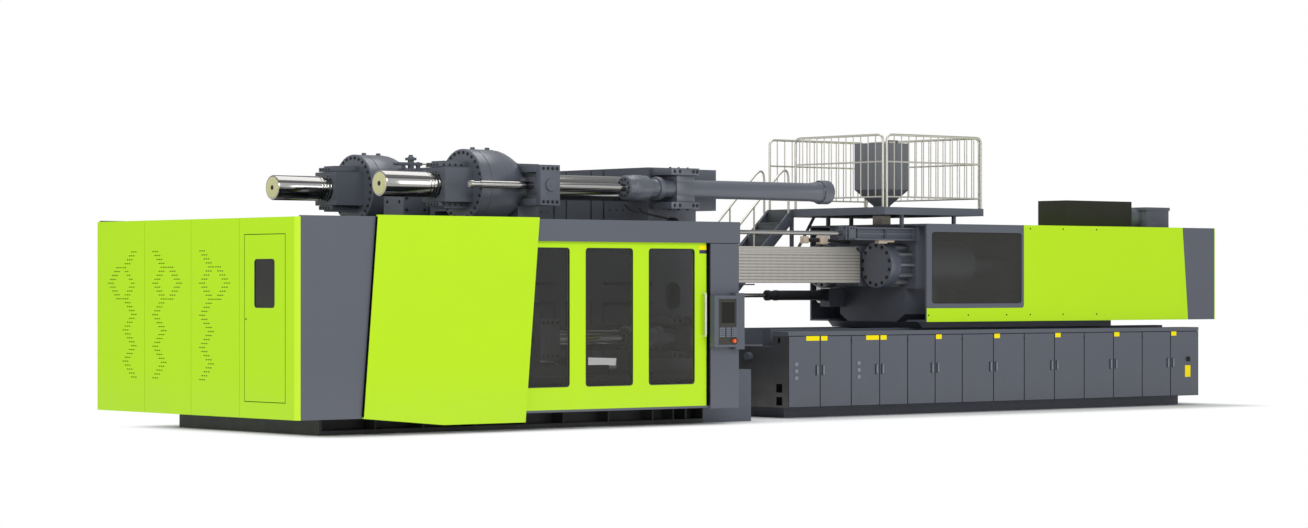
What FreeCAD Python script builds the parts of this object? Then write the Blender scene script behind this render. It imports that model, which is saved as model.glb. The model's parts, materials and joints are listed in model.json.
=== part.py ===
import FreeCAD, Part
import math
import os

# Injection moulding machine with two platens.
# X runs along the machine towards the injection end, Y away from the operator, Z up, in mm.
# The origin is on the floor, below the centre of the fixed platen's mould face.

V = FreeCAD.Vector
os.makedirs("parts", exist_ok=True)

# ---- clearances ----
SLIDE = 0.3            # between faces that slide on each other
DOOR_PLAY = 0.5        # behind a closed door or cover
SEAM = 6.0             # between neighbouring sheet panels

# ---- machine axis and clamp unit ----
AXIS_Z = 2331.0        # height of the barrel and platen centre
TIE_Y = 1322.0         # tie bar centres from the axis
TIE_Z = 1077.0
TIE_D = 363.0
TIE_END_X = -4551.0    # free end of the tie bars
PLATEN_Y = 1620.0      # half width of both platens
PLATEN_Z = 1390.0      # half height of both platens
FIXED_T = 910.0        # thickness of the fixed platen
MOVING_T = 370.0
DAYLIGHT = 2010.0      # gap between the platens as shown
NUT_PLATE = 600.0      # square nut plates behind the fixed platen
NUT_PLATE_T = 390.0
BORE_PLAY = 8.0        # tie bar to platen bore, on the radius
CYL_R = 508.0          # clamp cylinders
CYL_BODY = 494.0
CYL_NECK_R = 290.0
HOUSING_Y = 270.0      # lock nut housing half width
HOUSING_Z = 240.0
HOUSING_T = 470.0
HOUSING_WALL = 70.0
NUT_OPEN = 30.0        # how far each nut half stands off when open
NUT_PLAY = 2.5
LOCATING_R = 125.0
LOCATING_DEPTH = 55.0
EJECTOR_R = 90.0
SLOT_W = 40.0          # T-slots of the platens
SLOT_NECK = 45.0
SLOT_HEAD_W = 70.0
SLOT_HEAD = 35.0
SLOT_ROWS = (295.0, 592.0)

# ---- opening cylinders ----
OPEN_Y = 1886.0        # axis of the opening cylinders
OPEN_ROD_R = 54.0
OPEN_TUBE_R = 135.0
OPEN_GLAND_R = 150.0
OPEN_END_R = 180.0
OPEN_ROD_TAIL_X = -3430.0
OPEN_GLAND_X = -680.0
OPEN_END_X = 3290.0
OPEN_LOW_END_X = 1350.0                 # the lower pair stays clear of the cabinets
BLOCK_W = 343.0        # end block that the rod is bolted to
BLOCK_H = 567.0
BLOCK_T = 100.0
ARM_T = 100.0

# ---- clamp bed ----
BED_X0 = -5830.0
BED_X1 = 1877.0
BED_Y = 1750.0
BED_Z = 700.0
BED_FLANGE = 60.0
BED_POCKET = 260.0
SEAT_Z = 765.0         # raised end of the bed under the fixed platen
RAIL_Y = 690.0
RAIL_W = 160.0
RAIL_H = 140.0
DROP_Y = 560.0         # half width of the part drop shaft
RIB_X = (-5799, -4914, -4117, -3232, -2347, -1667, -845, -23, 369, 606, 938)
RIB_T = 24.0

# ---- guard round the clamp unit ----
GUARD_X0 = -6696.0
GUARD_Y = 2540.0
GUARD_Z0 = 246.0
GUARD_Z1 = 2925.0
SHEET = 40.0
HEADER_X1 = 968.0
HEADER_Z = 2619.0
HEADER_DEPTH = 160.0
POST_X0 = 405.0
POST_X1 = 941.0
DOOR_X0 = -3250.0
DOOR_X1 = 356.0
DOOR_Z0 = 283.0
DOOR_Z1 = 2586.0
DOOR_T = 50.0
WINDOW_Z0 = 595.0
WINDOW_Z1 = 2533.0
WINDOW_W = 857.0
WINDOW_X = (-3009.0, -1868.0, -723.0)
WINDOW_R = 50.0
SIDE_PANEL_X1 = -5480.0
WEDGE_PROUD = 35.0
WEDGE = ((-5451, 2945), (-2736, 2945), (-2983, 130), (-4373, 130), (-5678, 245))
END_SEAMS = (1270.0, 61.0, -1141.0)
END_DOOR_Y0 = -2238.0
END_DOOR_Y1 = -1260.0
END_DOOR_Z0 = 464.0
END_DOOR_Z1 = 2686.0
END_WIN = (-1986.0, -1501.0, 1710.0, 2358.0)

# ---- control box ----
HMI_Z0 = 1122.0
HMI_Z1 = 1863.0
STOP_R = 30.0

# ---- injection bed and cabinets ----
CAB_X0 = 2870.0
CAB_Y = 1480.0         # front face of the cabinet doors
CAB_DEPTH = 343.0
CAB_BACK_Y = 1040.0    # rear side of the bed
CAB_Z0 = 162.0
CAB_Z1 = 1309.0
CAB_LIP = 62.0
CAB_CENTRE_Z = 1084.0
DOOR_SHEET = 30.0
DOOR_WIDE, DOOR_MIDDLE, DOOR_NARROW = 702.0, 648.0, 600.0
DOOR_WIDTHS = (DOOR_MIDDLE,) * 2 + (DOOR_NARROW,) * 4 + (DOOR_WIDE,) * 8
DOOR_GAP = 6.0
SKIRT_X0 = 3090.0
SKIRT_Y = 1130.0
CARRIAGE_RAIL_Y = 760.0
CARRIAGE_RAIL_W = 180.0
CARRIAGE_Z = 1340.0    # underside of the carriage

# ---- injection unit ----
DISC_X = 5500.0
DISC_T = 210.0
INJ_Y = 632.0
INJ_R = 362.0
INJ_ROD_R = 110.0
PLATE_X = 6018.0
PLATE_T = 238.0
DRUM_X1 = 7370.0
HEAD_X = 8400.0
HEAD_T = 520.0
INJ_STROKE = 900.0
BARREL_R = 205.0
BARREL_X0 = 1450.0
SCREW_R = 92.0
NOZZLE_R = 70.0
COVER_X0 = 1550.0
COVER_X1 = 5470.0
COVER_Y = 300.0
COVER_Z = 283.0        # half height of the barrel cover
COVER_CHAMFER = 95.0
COVER_SHEET = 12.0
LOW_CYL_Y = 750.0
LOW_CYL_Z = 1851.0
UPPER_ROD_Y = 970.0
UPPER_ROD_Z = 2815.0
IGUARD_Y = 1350.0
IGUARD_X0 = 5910.0
IGUARD_X1 = 12755.0
IGUARD_Z1 = 2980.0
PANE = (6025.0, 8050.0, 1723.0, 2851.0)

# ---- platform, hopper, stairs ----
DECK_X0 = 5276.0
DECK_X1 = 7466.0
DECK_Y = 1066.0
DECK_Z0 = 3120.0
DECK_Z1 = 3238.0
HOPPER_X = 6228.0
HOPPER_W = 710.0
HOPPER_Z0 = 3541.0
HOPPER_Z1 = 4264.0
CONE_Z = 3284.0
PIPE_W = 200.0
RAIL_TOP = 1138.0      # top rail over the deck
RAIL_R = 20.0
BALUSTER = 18.0
BALUSTER_PITCH = 400.0
STAIR_Y0 = 1090.0
STAIR_W = 600.0
STAIR_FOOT = 25.0      # floor clearance of the stairs, which travel with the carriage
STAIR_SLOPE = 44.0


def box(x0, x1, y0, y1, z0, z1):
    return Part.makeBox(x1 - x0, y1 - y0, z1 - z0, V(x0, y0, z0))


def facets(r):
    """How many flats stand for a round of radius r. Flats keep the model light."""
    return 20 if r > 300 else 12 if r > 130 else 10 if r > 50 else 8


def around(r):
    """Corners of the many-sided outline that stands for a round of radius r."""
    step = 2 * math.pi / facets(r)
    return [(r * math.cos((i + 0.5) * step), r * math.sin((i + 0.5) * step)) for i in range(facets(r))]


def outline(points):
    return Part.makePolygon(points + [points[0]])


def rod_x(x0, x1, y, z, r):
    return prism([(x0, y + a, z + b) for a, b in around(r)], (x1 - x0, 0, 0))


def rod_y(x, y0, y1, z, r):
    return prism([(x + a, y0, z + b) for a, b in around(r)], (0, y1 - y0, 0))


def round_x(x0, x1, y, z, r):
    """A true cylinder, for what turns or takes a mount."""
    return Part.makeCylinder(r, x1 - x0, V(x0, y, z), V(1, 0, 0))


def prism(points, direction):
    """Extrude a closed outline of 3D points."""
    return Part.Face(outline([V(*p) for p in points])).extrude(V(*direction))


def sewn(faces):
    """Close a set of faces to a solid."""
    shell = Part.makeShell(faces)
    shell.sewShape()
    if Part.Solid(shell).Volume < 0:
        shell.reverse()
    return Part.Solid(shell)


def between(a, b):
    """Flat side faces between two rings of points."""
    return [Part.Face(outline([a[i - 1], a[i], b[i], b[i - 1]])) for i in range(len(a))]


def turned_x(profile, y, z):
    """Turn an (x, r) outline about an axis along X at y, z, in flats."""
    widest = max(r for x, r in profile)
    rings = [[V(x, y + a * r / widest, z + b * r / widest) for a, b in around(widest)] for x, r in profile]
    faces = []
    for i in range(len(profile)):
        x0, r0 = profile[i - 1]
        x1, r1 = profile[i]
        if x0 == x1:
            outer, inner = (rings[i - 1], rings[i]) if r0 > r1 else (rings[i], rings[i - 1])
            face = Part.Face(outline(outer))
            faces.append(face if min(r0, r1) == 0 else face.cut(Part.Face(outline(inner))).Faces[0])
        elif r0 > 0:
            faces += between(rings[i - 1], rings[i])
    return sewn(faces)


CORNER_STEPS = 3       # flats round the corner of a plate or window


def rounded(a0, a1, b0, b1, r):
    """Outline of a rectangle with rounded corners."""
    points = []
    centres = ((a1 - r, b1 - r), (a0 + r, b1 - r), (a0 + r, b0 + r), (a1 - r, b0 + r))
    for quarter, (a, b) in enumerate(centres):
        for i in range(CORNER_STEPS + 1):
            t = math.pi / 2 * (quarter + i / CORNER_STEPS)
            points.append((a + r * math.cos(t), b + r * math.sin(t)))
    return points


def plate_y(x0, x1, z0, z1, y0, y1, r):
    """A plate in the XZ plane with rounded corners."""
    return prism([(x, y0, z) for x, z in rounded(x0, x1, z0, z1, r)], (0, y1 - y0, 0))


def plate_x(y0, y1, z0, z1, x0, x1, r):
    """A plate in the YZ plane with rounded corners."""
    return prism([(x0, y, z) for y, z in rounded(y0, y1, z0, z1, r)], (x1 - x0, 0, 0))


def fused(shapes):
    whole = shapes[0].fuse(shapes[1:]) if len(shapes) > 1 else shapes[0]
    return whole.removeSplitter()


def cut(body, tools):
    return body.cut(tools)


def mirrored(shape):
    return shape.mirror(V(0, 0, 0), V(0, 1, 0))


def corners():
    """Centres of the four tie bars."""
    return [(sy * TIE_Y, AXIS_Z + sz * TIE_Z) for sy in (-1, 1) for sz in (-1, 1)]


def save(name, *solids):
    shape = solids[0] if len(solids) == 1 else Part.makeCompound(list(solids))
    shape.exportStep("parts/%s.step" % name)


def bar(p0, p1, r, sides=8):
    """A light bar with a regular many-sided section between two points."""
    a, b = V(*p0), V(*p1)
    along = (b - a).normalize()
    ref = V(0, 0, 1) if abs(along.z) < 0.9 else V(1, 0, 0)
    u = along.cross(ref).normalize()
    w = along.cross(u)
    points = []
    for i in range(sides):
        t = 2 * math.pi * (i + 0.5) / sides
        points.append(a + u * (r * math.cos(t)) + w * (r * math.sin(t)))
    wire = Part.makePolygon(points + [points[0]])
    return Part.Face(wire).extrude(b - a)


def t_slots(face_x, into):
    """The T-slots of a platen: each row runs from its own square out to the platen's edges."""
    tools = []
    first, last = SLOT_ROWS
    starts = {first: last, last: last}
    layers = ((0.0, SLOT_NECK, SLOT_W), (SLOT_NECK, SLOT_NECK + SLOT_HEAD, SLOT_HEAD_W))
    for row in SLOT_ROWS:
        start = starts[row] - SLOT_W / 2
        for near, far, width in layers:
            xs = sorted((face_x + into * near, face_x + into * far))
            for side in (-1, 1):
                for way in (-1, 1):
                    across = sorted((side * row - width / 2, side * row + width / 2))
                    up = sorted((way * start, way * (PLATEN_Z + 1)))
                    out = sorted((way * start, way * (PLATEN_Y + 1)))
                    tools.append(box(xs[0], xs[1], across[0], across[1], AXIS_Z + up[0], AXIS_Z + up[1]))
                    tools.append(box(xs[0], xs[1], out[0], out[1], AXIS_Z + across[0], AXIS_Z + across[1]))
    return tools


# ---------------------------------------------------------------- clamp unit, fixed
TIE_R = TIE_D / 2
MOULD_X = -DAYLIGHT                     # mould face of the moving platen
PLATEN_REAR_X = MOULD_X - MOVING_T
PLATEN_BOTTOM = AXIS_Z - PLATEN_Z
SHAFT_X0 = MOULD_X + 60.0
SHAFT_X1 = -100.0


def clamp_bed():
    body = fused([box(BED_X0, BED_X1, -BED_Y, BED_Y, 0, BED_Z), box(0, BED_X1, -BED_Y, BED_Y, BED_Z, SEAT_Z)])
    tools = [box(SHAFT_X0, SHAFT_X1, -DROP_Y, DROP_Y, -1, BED_Z + 1)]
    for left, right in zip(RIB_X, RIB_X[1:]):
        x0, x1 = left + RIB_T / 2, right - RIB_T / 2
        for side in (-1, 1):
            ys = sorted((side * (BED_Y - BED_POCKET), side * (BED_Y + 1)))
            tools.append(box(x0, x1, ys[0], ys[1], BED_FLANGE, BED_Z - BED_FLANGE))
    return cut(body, tools)


RAIL_SETBACK = 1900.0   # from the bed's end to the guide rails
RAIL_X0 = BED_X0 + RAIL_SETBACK
RAIL_X1 = -40.0


def guide_rails():
    rails = []
    for side in (-1, 1):
        y = side * RAIL_Y
        rails.append(box(RAIL_X0, RAIL_X1, y - RAIL_W / 2, y + RAIL_W / 2, BED_Z, BED_Z + RAIL_H))
    return rails


POCKET_X = (318.0, 606.0)
POCKET_H = 390.0
POCKET_DEPTH = 150.0
POCKET_RISE = 476.0
POCKET_R = 110.0
NOZZLE_WAY_R = 100.0
FOOT_Y = 900.0


def fixed_platen():
    body = box(0, FIXED_T, -PLATEN_Y, PLATEN_Y, PLATEN_BOTTOM, AXIS_Z + PLATEN_Z)
    feet = [box(0, FIXED_T, FOOT_Y, PLATEN_Y, SEAT_Z, PLATEN_BOTTOM),
            box(0, FIXED_T, -PLATEN_Y, -FOOT_Y, SEAT_Z, PLATEN_BOTTOM)]
    body = fused([body] + feet)
    tools = [rod_x(-1, FIXED_T + 1, y, z, TIE_R + SLIDE) for y, z in corners()]
    tools.append(round_x(-1, LOCATING_DEPTH, 0, AXIS_Z, LOCATING_R))
    way_out = FIXED_T + 1
    tools.append(turned_x([(0, 0), (0, NOZZLE_WAY_R), (way_out, BARREL_R * 2), (way_out, 0)], 0, AXIS_Z))
    for way in (-1, 1):
        z = AXIS_Z + way * POCKET_RISE
        for side in (-1, 1):
            ys = sorted((side * (PLATEN_Y - POCKET_DEPTH), side * (PLATEN_Y + 1)))
            tools.append(plate_y(POCKET_X[0], POCKET_X[1], z - POCKET_H / 2, z + POCKET_H / 2,
                                 ys[0], ys[1], POCKET_R))
    return cut(body, tools + t_slots(0, 1))


TIE_X1 = FIXED_T + NUT_PLATE_T - 10.0
RING_FIRST = 650.0     # first ring groove from the bar's free end
RING_PITCH = 95.0
RING_COUNT = 2
RING_W = 44.0
RING_DEPTH = 16.0


def tie_bar(y, z):
    """A turned bar with ring grooves that the split nuts close on."""
    x0 = TIE_END_X
    profile = [(x0, 0), (x0, TIE_R)]
    for i in range(RING_COUNT):
        x = x0 + RING_FIRST + i * RING_PITCH
        profile += [(x - RING_W / 2, TIE_R), (x, TIE_R - RING_DEPTH), (x + RING_W / 2, TIE_R)]
    profile += [(TIE_X1, TIE_R), (TIE_X1, 0)]
    return turned_x(profile, y, z)


def tie_bar_nut(y, z):
    half = NUT_PLATE / 2
    body = box(FIXED_T, FIXED_T + NUT_PLATE_T, y - half, y + half, z - half, z + half)
    return cut(body, [rod_x(FIXED_T - 1, FIXED_T + NUT_PLATE_T + 1, y, z, TIE_R + SLIDE)])


OPEN_GLAND_T = 480.0
OPEN_FLANGE_T = 180.0
OPEN_CAP = 60.0        # solid end of a tube
OPEN_COLLAR = (150.0, 215.0, 156.0)     # flare, end of the flare before the tube's end, radius
OPEN_WEB_X = (200.0, 540.0)
OPEN_ARM_X = (40.0, 570.0)
OPEN_ARM_RISE = (195.0, 295.0)
OPEN_ARM_REACH = 2100.0
OPEN_WEB_REACH = 2030.0


def opening_cylinder(sy, z):
    """A tube held on the fixed platen's side by a web between two arms. The upper pair is long and flanged."""
    y = sy * OPEN_Y
    upper = z > AXIS_Z
    end = OPEN_END_X if upper else OPEN_LOW_END_X
    profile = [(OPEN_GLAND_X, 0), (OPEN_GLAND_X, OPEN_GLAND_R), (OPEN_GLAND_X + OPEN_GLAND_T, OPEN_GLAND_R),
               (OPEN_GLAND_X + OPEN_GLAND_T, OPEN_TUBE_R)]
    if upper:
        profile += [(end - OPEN_COLLAR[0] - OPEN_COLLAR[1], OPEN_TUBE_R), (end - OPEN_COLLAR[1], OPEN_COLLAR[2]),
                    (end - OPEN_FLANGE_T, OPEN_COLLAR[2]), (end - OPEN_FLANGE_T, OPEN_END_R), (end, OPEN_END_R)]
    else:
        profile.append((end, OPEN_TUBE_R))
    profile.append((end, 0))
    tube = turned_x(profile, y, z)
    arms = []
    for way in (-1, 1):
        ys = sorted((sy * PLATEN_Y, sy * OPEN_ARM_REACH))
        zs = sorted((z + way * OPEN_ARM_RISE[0], z + way * OPEN_ARM_RISE[1]))
        arms.append(box(OPEN_ARM_X[0], OPEN_ARM_X[1], ys[0], ys[1], zs[0], zs[1]))
    ys = sorted((sy * PLATEN_Y, sy * OPEN_WEB_REACH))
    web = box(OPEN_WEB_X[0], OPEN_WEB_X[1], ys[0], ys[1], z - OPEN_ARM_RISE[0], z + OPEN_ARM_RISE[0])
    bore = rod_x(OPEN_GLAND_X - 1, end - OPEN_CAP, y, z, OPEN_ROD_R + SLIDE)
    return cut(fused([tube, web] + arms), [bore])


CHUTE_T = 14.0
CHUTE_RIDGE_Z = 905.0
CHUTE_LOW_Z = 380.0
CHUTE_RIDGE_HALF = 120.0


def part_chute():
    """A bent sheet over the drop shaft that sheds mouldings to both ends."""
    mid = (SHAFT_X0 + SHAFT_X1) / 2
    low, high = CHUTE_LOW_Z, CHUTE_RIDGE_Z
    x0, x1 = SHAFT_X0 + SLIDE, SHAFT_X1 - SLIDE
    top = [(x0, low), (mid - CHUTE_RIDGE_HALF, high), (mid + CHUTE_RIDGE_HALF, high), (x1, low)]
    under = [(x, z - CHUTE_T) for x, z in reversed(top)]
    points = [(x, -DROP_Y + SLIDE, z) for x, z in top + under]
    return prism(points, (0, 2 * (DROP_Y - SLIDE), 0))


# ---------------------------------------------------------------- clamp unit, moving
RIB_BOX = (520.0, 820.0, 800.0)         # depth, half width, half height behind the platen
RIB_WALL = 70.0
EJECT_BAY = 280.0
EJECT_PLATE_T = 50.0
SHOE_X = (-300.0, 1150.0)
SHOE_SLOPE = 160.0
SHOE_Y = 120.0


def moving_platen():
    top = AXIS_Z + PLATEN_Z
    body = box(PLATEN_REAR_X, MOULD_X, -PLATEN_Y, PLATEN_Y, PLATEN_BOTTOM, top)
    depth, half_y, half_z = RIB_BOX
    rear_x = PLATEN_REAR_X - depth
    rear = box(rear_x, PLATEN_REAR_X, -half_y, half_y, AXIS_Z - half_z, AXIS_Z + half_z)
    shoes = []
    for side in (-1, 1):
        y = side * RAIL_Y
        x0 = PLATEN_REAR_X + SHOE_X[0]
        x1 = PLATEN_REAR_X + SHOE_X[1]
        low = BED_Z + RAIL_H + SLIDE
        points = [(x0, y - SHOE_Y, low), (x0, y - SHOE_Y, PLATEN_BOTTOM),
                  (x1 - SHOE_SLOPE, y - SHOE_Y, PLATEN_BOTTOM), (x1, y - SHOE_Y, low)]
        shoes.append(prism(points, (0, 2 * SHOE_Y, 0)))
    body = fused([body, rear] + shoes)
    tools = [rod_x(PLATEN_REAR_X - 1, MOULD_X + 1, y, z, TIE_R + BORE_PLAY) for y, z in corners()]
    for sy in (-1, 1):
        for sz in (-1, 1):
            ys = sorted((sy * (EJECT_BAY + RIB_WALL), sy * (half_y - RIB_WALL)))
            zs = sorted((AXIS_Z + sz * RIB_WALL / 2, AXIS_Z + sz * (half_z - RIB_WALL)))
            tools.append(box(rear_x - 1, PLATEN_REAR_X - RIB_WALL, ys[0], ys[1], zs[0], zs[1]))
    bay_x1 = PLATEN_REAR_X - RIB_WALL - EJECT_PLATE_T
    tools.append(box(rear_x - 1, bay_x1, -EJECT_BAY, EJECT_BAY, AXIS_Z - EJECT_BAY, AXIS_Z + EJECT_BAY))
    tools.append(rod_x(bay_x1 - 1, MOULD_X + 1, 0, AXIS_Z, EJECTOR_R + SLIDE))
    return cut(body, tools + t_slots(MOULD_X, -1))


CYL_CONE = 280.0
CYL_X0 = PLATEN_REAR_X - CYL_CONE - CYL_BODY
CYL_SHOULDER = (100.0, 58.0)


def clamp_cylinder(y, z):
    """A turned cylinder that narrows into the platen's corner."""
    bore = TIE_R + BORE_PLAY
    x1 = CYL_X0 + CYL_BODY
    profile = [(CYL_X0, bore), (CYL_X0, CYL_R), (x1, CYL_R),
               (x1 + CYL_SHOULDER[0], CYL_R - CYL_SHOULDER[1]),
               (PLATEN_REAR_X, CYL_NECK_R), (PLATEN_REAR_X, bore)]
    return turned_x(profile, y, z)


HOUSING_SKIN = 25.0
HOUSING_TOP = 35.0
TAB_HALF = 150.0
TAB_RISE = 90.0


def nut_housing(y, z):
    """A box behind the cylinder that guides the two nut halves."""
    x0 = CYL_X0 - HOUSING_T
    body = box(x0, CYL_X0, y - HOUSING_Y, y + HOUSING_Y, z - HOUSING_Z, z + HOUSING_Z)
    reach = HOUSING_Z + TAB_RISE
    tabs = box(x0 + HOUSING_WALL, CYL_X0, y - TAB_HALF, y + TAB_HALF, z - reach, z + reach)
    inner_y = HOUSING_Y - HOUSING_SKIN
    inner_z = HOUSING_Z - HOUSING_TOP
    room = box(x0 + HOUSING_WALL, CYL_X0 - HOUSING_WALL, y - inner_y, y + inner_y, z - inner_z, z + inner_z)
    way = rod_x(x0 - 1, CYL_X0 + 1, y, z, TIE_R + BORE_PLAY)
    return cut(fused([body, tabs]), [room, way])


def nut_half(y, z, side):
    """Half of a split nut, drawn standing open."""
    x0 = CYL_X0 - HOUSING_T + HOUSING_WALL + SLIDE
    x1 = CYL_X0 - HOUSING_WALL - SLIDE
    centre = y + side * NUT_OPEN
    inner_z = HOUSING_Z - HOUSING_TOP - SLIDE
    ys = sorted((centre + side, y + side * (HOUSING_Y - HOUSING_SKIN - SLIDE)))
    body = box(x0, x1, ys[0], ys[1], z - inner_z, z + inner_z)
    return cut(body, [rod_x(x0 - 1, x1 + 1, centre, z, TIE_R + NUT_PLAY)])


BLOCK_X0 = PLATEN_REAR_X - 9.0
BLOCK_Y1 = 2150.0
OPEN_ROD_X1 = 400.0
OPEN_LOW_ROD_X1 = 180.0
CROSSHEAD = 120.0


def opening_rod(sy, z):
    """The piston rod with its crosshead, end block and the two arms to the platen's side."""
    y = sy * OPEN_Y
    rod = rod_x(OPEN_ROD_TAIL_X, OPEN_ROD_X1 if z > AXIS_Z else OPEN_LOW_ROD_X1, y, z, OPEN_ROD_R)
    x1 = BLOCK_X0 + BLOCK_W
    pieces = [rod]
    ys = sorted((sy * BLOCK_Y1, sy * (BLOCK_Y1 - BLOCK_T)))
    pieces.append(box(BLOCK_X0, x1, ys[0], ys[1], z - BLOCK_H / 2, z + BLOCK_H / 2))
    ys = sorted((sy * (BLOCK_Y1 - BLOCK_T), sy * (OPEN_Y - CROSSHEAD)))
    pieces.append(box(BLOCK_X0 + 50, x1 - 50, ys[0], ys[1], z - CROSSHEAD, z + CROSSHEAD))
    for way in (-1, 1):
        ys = sorted((sy * PLATEN_Y, sy * (BLOCK_Y1 - BLOCK_T)))
        zs = sorted((z + way * BLOCK_H / 2, z + way * (BLOCK_H / 2 - ARM_T)))
        pieces.append(box(BLOCK_X0, x1, ys[0], ys[1], zs[0], zs[1]))
    return fused(pieces)


def ejector():
    rear = PLATEN_REAR_X - RIB_BOX[0]
    rod = rod_x(rear + EJECT_PLATE_T, MOULD_X - SLIDE, 0, AXIS_Z, EJECTOR_R)
    half = EJECT_BAY - SLIDE
    plate = box(rear, rear + EJECT_PLATE_T, -half, half, AXIS_Z - half, AXIS_Z + half)
    return fused([rod, plate])


save("clamp_bed", clamp_bed())
save("guide_rails", *guide_rails())
save("fixed_platen", fixed_platen())
save("tie_bars", *[tie_bar(y, z) for y, z in corners()])
save("tie_bar_nuts", *[tie_bar_nut(y, z) for y, z in corners()])
OPEN_ROWS = [(sy, AXIS_Z + sz * TIE_Z) for sy in (-1, 1) for sz in (-1, 1)]
save("opening_cylinders", *[opening_cylinder(sy, z) for sy, z in OPEN_ROWS])
save("part_chute", part_chute())
save("moving_platen", moving_platen())
save("clamp_cylinders", *[clamp_cylinder(y, z) for y, z in corners()])
save("nut_housings", *[nut_housing(y, z) for y, z in corners()])
save("front_nut_halves", *[nut_half(y, z, -1) for y, z in corners()])
save("rear_nut_halves", *[nut_half(y, z, 1) for y, z in corners()])
save("opening_rods", *[opening_rod(sy, z) for sy, z in OPEN_ROWS])
save("ejector", ejector())

# ---------------------------------------------------------------- guard round the clamp unit
GUARD_IN_Y = GUARD_Y - HEADER_DEPTH
DOOR_Y0 = GUARD_Y - SHEET
DOOR_Y1 = DOOR_Y0 - DOOR_T
INNER_SKIN = 30.0
HEADER_BACK = 35.0
HEADER_ROOM = 181.0    # height of the channel that hides the door's hanger
RUNNER = (2640.0, 2700.0)
RUNNER_T = 40.0
HANGER_T = 30.0
HANGER_Z1 = 2760.0
SILL = (250.0, 340.0)
LEDGE_Z1 = DOOR_Z0 - DOOR_PLAY
STAY_W = 100.0
FRAME_T = 80.0


def side_frame():
    """The operator side: header with the door's rail, post, sill, and the sheets left of the door."""
    y_out, y_in = -GUARD_Y, -GUARD_IN_Y
    header = box(SIDE_PANEL_X1, HEADER_X1, y_out, y_in, HEADER_Z, GUARD_Z1)
    channel = box(SIDE_PANEL_X1 + SHEET, POST_X0 - SHEET, -DOOR_Y0 - 5, y_in - HEADER_BACK,
                  HEADER_Z - 1, HEADER_Z + HEADER_ROOM)
    rail = box(SIDE_PANEL_X1 + SHEET, POST_X0 - SHEET, y_in - HEADER_BACK - RUNNER_T, y_in - HEADER_BACK,
               RUNNER[0], RUNNER[1])
    post = box(POST_X0, POST_X1, y_out, y_in, GUARD_Z0 - 6, HEADER_Z)
    left = box(GUARD_X0 + SHEET, SIDE_PANEL_X1, y_out, y_out + SHEET, GUARD_Z0, GUARD_Z1)
    behind = box(SIDE_PANEL_X1 - SHEET, DOOR_X0, -DOOR_Y1 + 10, -DOOR_Y1 + 10 + INNER_SKIN, SILL[0], HEADER_Z)
    sill = box(SIDE_PANEL_X1, POST_X0, -DOOR_Y1 + 10, y_in, SILL[0], SILL[1])
    ledge = box(SIDE_PANEL_X1, POST_X0, -DOOR_Y0 + 5, -DOOR_Y1 + 10, SILL[0], LEDGE_Z1)
    jamb = box(SIDE_PANEL_X1 - SHEET, SIDE_PANEL_X1, y_out, -DOOR_Y1 + 10 + INNER_SKIN, SILL[0], GUARD_Z1)
    pieces = [cut(header, [channel]), rail, post, left, behind, sill, ledge, jamb]
    for x in RIB_X[1:]:
        if x < POST_X1:
            pieces.append(box(x - STAY_W / 2, x + STAY_W / 2, y_in, -BED_Y, SILL[0], SILL[1]))
    return fused(pieces)


def wedge_panel():
    """The slanted cover that stands proud of the header and hides the open door."""
    points = [(x, -GUARD_Y - WEDGE_PROUD, z) for x, z in WEDGE]
    return prism(points, (0, WEDGE_PROUD, 0))


WINDOW_REBATE = 20.0
PANE_T = 8.0
HANDLE_X = 290.0
HANDLE_Z = (1270.0, 1910.0)
HANDLE_PROUD = 62.0
HANDLE_R = 14.0


def sliding_door():
    body = box(DOOR_X0, DOOR_X1, -DOOR_Y0, -DOOR_Y1, DOOR_Z0, DOOR_Z1)
    hanger = box(DOOR_X0, DOOR_X1, -DOOR_Y0 + 5, -DOOR_Y0 + 5 + HANGER_T, DOOR_Z1, HANGER_Z1)
    runner_y = -GUARD_IN_Y - HEADER_BACK - 5
    runner = box(DOOR_X0, DOOR_X1, -DOOR_Y0 + 5 + HANGER_T, runner_y, RUNNER[1] + SLIDE, HANGER_Z1)
    door = fused([body, hanger, runner])
    holes = [plate_y(x, x + WINDOW_W, WINDOW_Z0, WINDOW_Z1, -DOOR_Y0 - 1, -DOOR_Y1 + 1, WINDOW_R)
             for x in WINDOW_X]
    door = cut(door, holes)
    y = -DOOR_Y0 - HANDLE_PROUD
    grip = [bar((HANDLE_X, y, HANDLE_Z[0]), (HANDLE_X, y, HANDLE_Z[1]), HANDLE_R)]
    for z in (HANDLE_Z[0] + HANDLE_R, HANDLE_Z[1] - HANDLE_R):
        grip.append(bar((HANDLE_X, y, z), (HANDLE_X, -DOOR_Y0 + 1, z), HANDLE_R))
    return fused([door] + grip)


def door_panes():
    gap = SLIDE
    return [plate_y(x + gap, x + WINDOW_W - gap, WINDOW_Z0 + gap, WINDOW_Z1 - gap,
                    -DOOR_Y0 + WINDOW_REBATE, -DOOR_Y0 + WINDOW_REBATE + PANE_T, WINDOW_R - gap)
            for x in WINDOW_X]


END_GAP = 4.0


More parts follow.
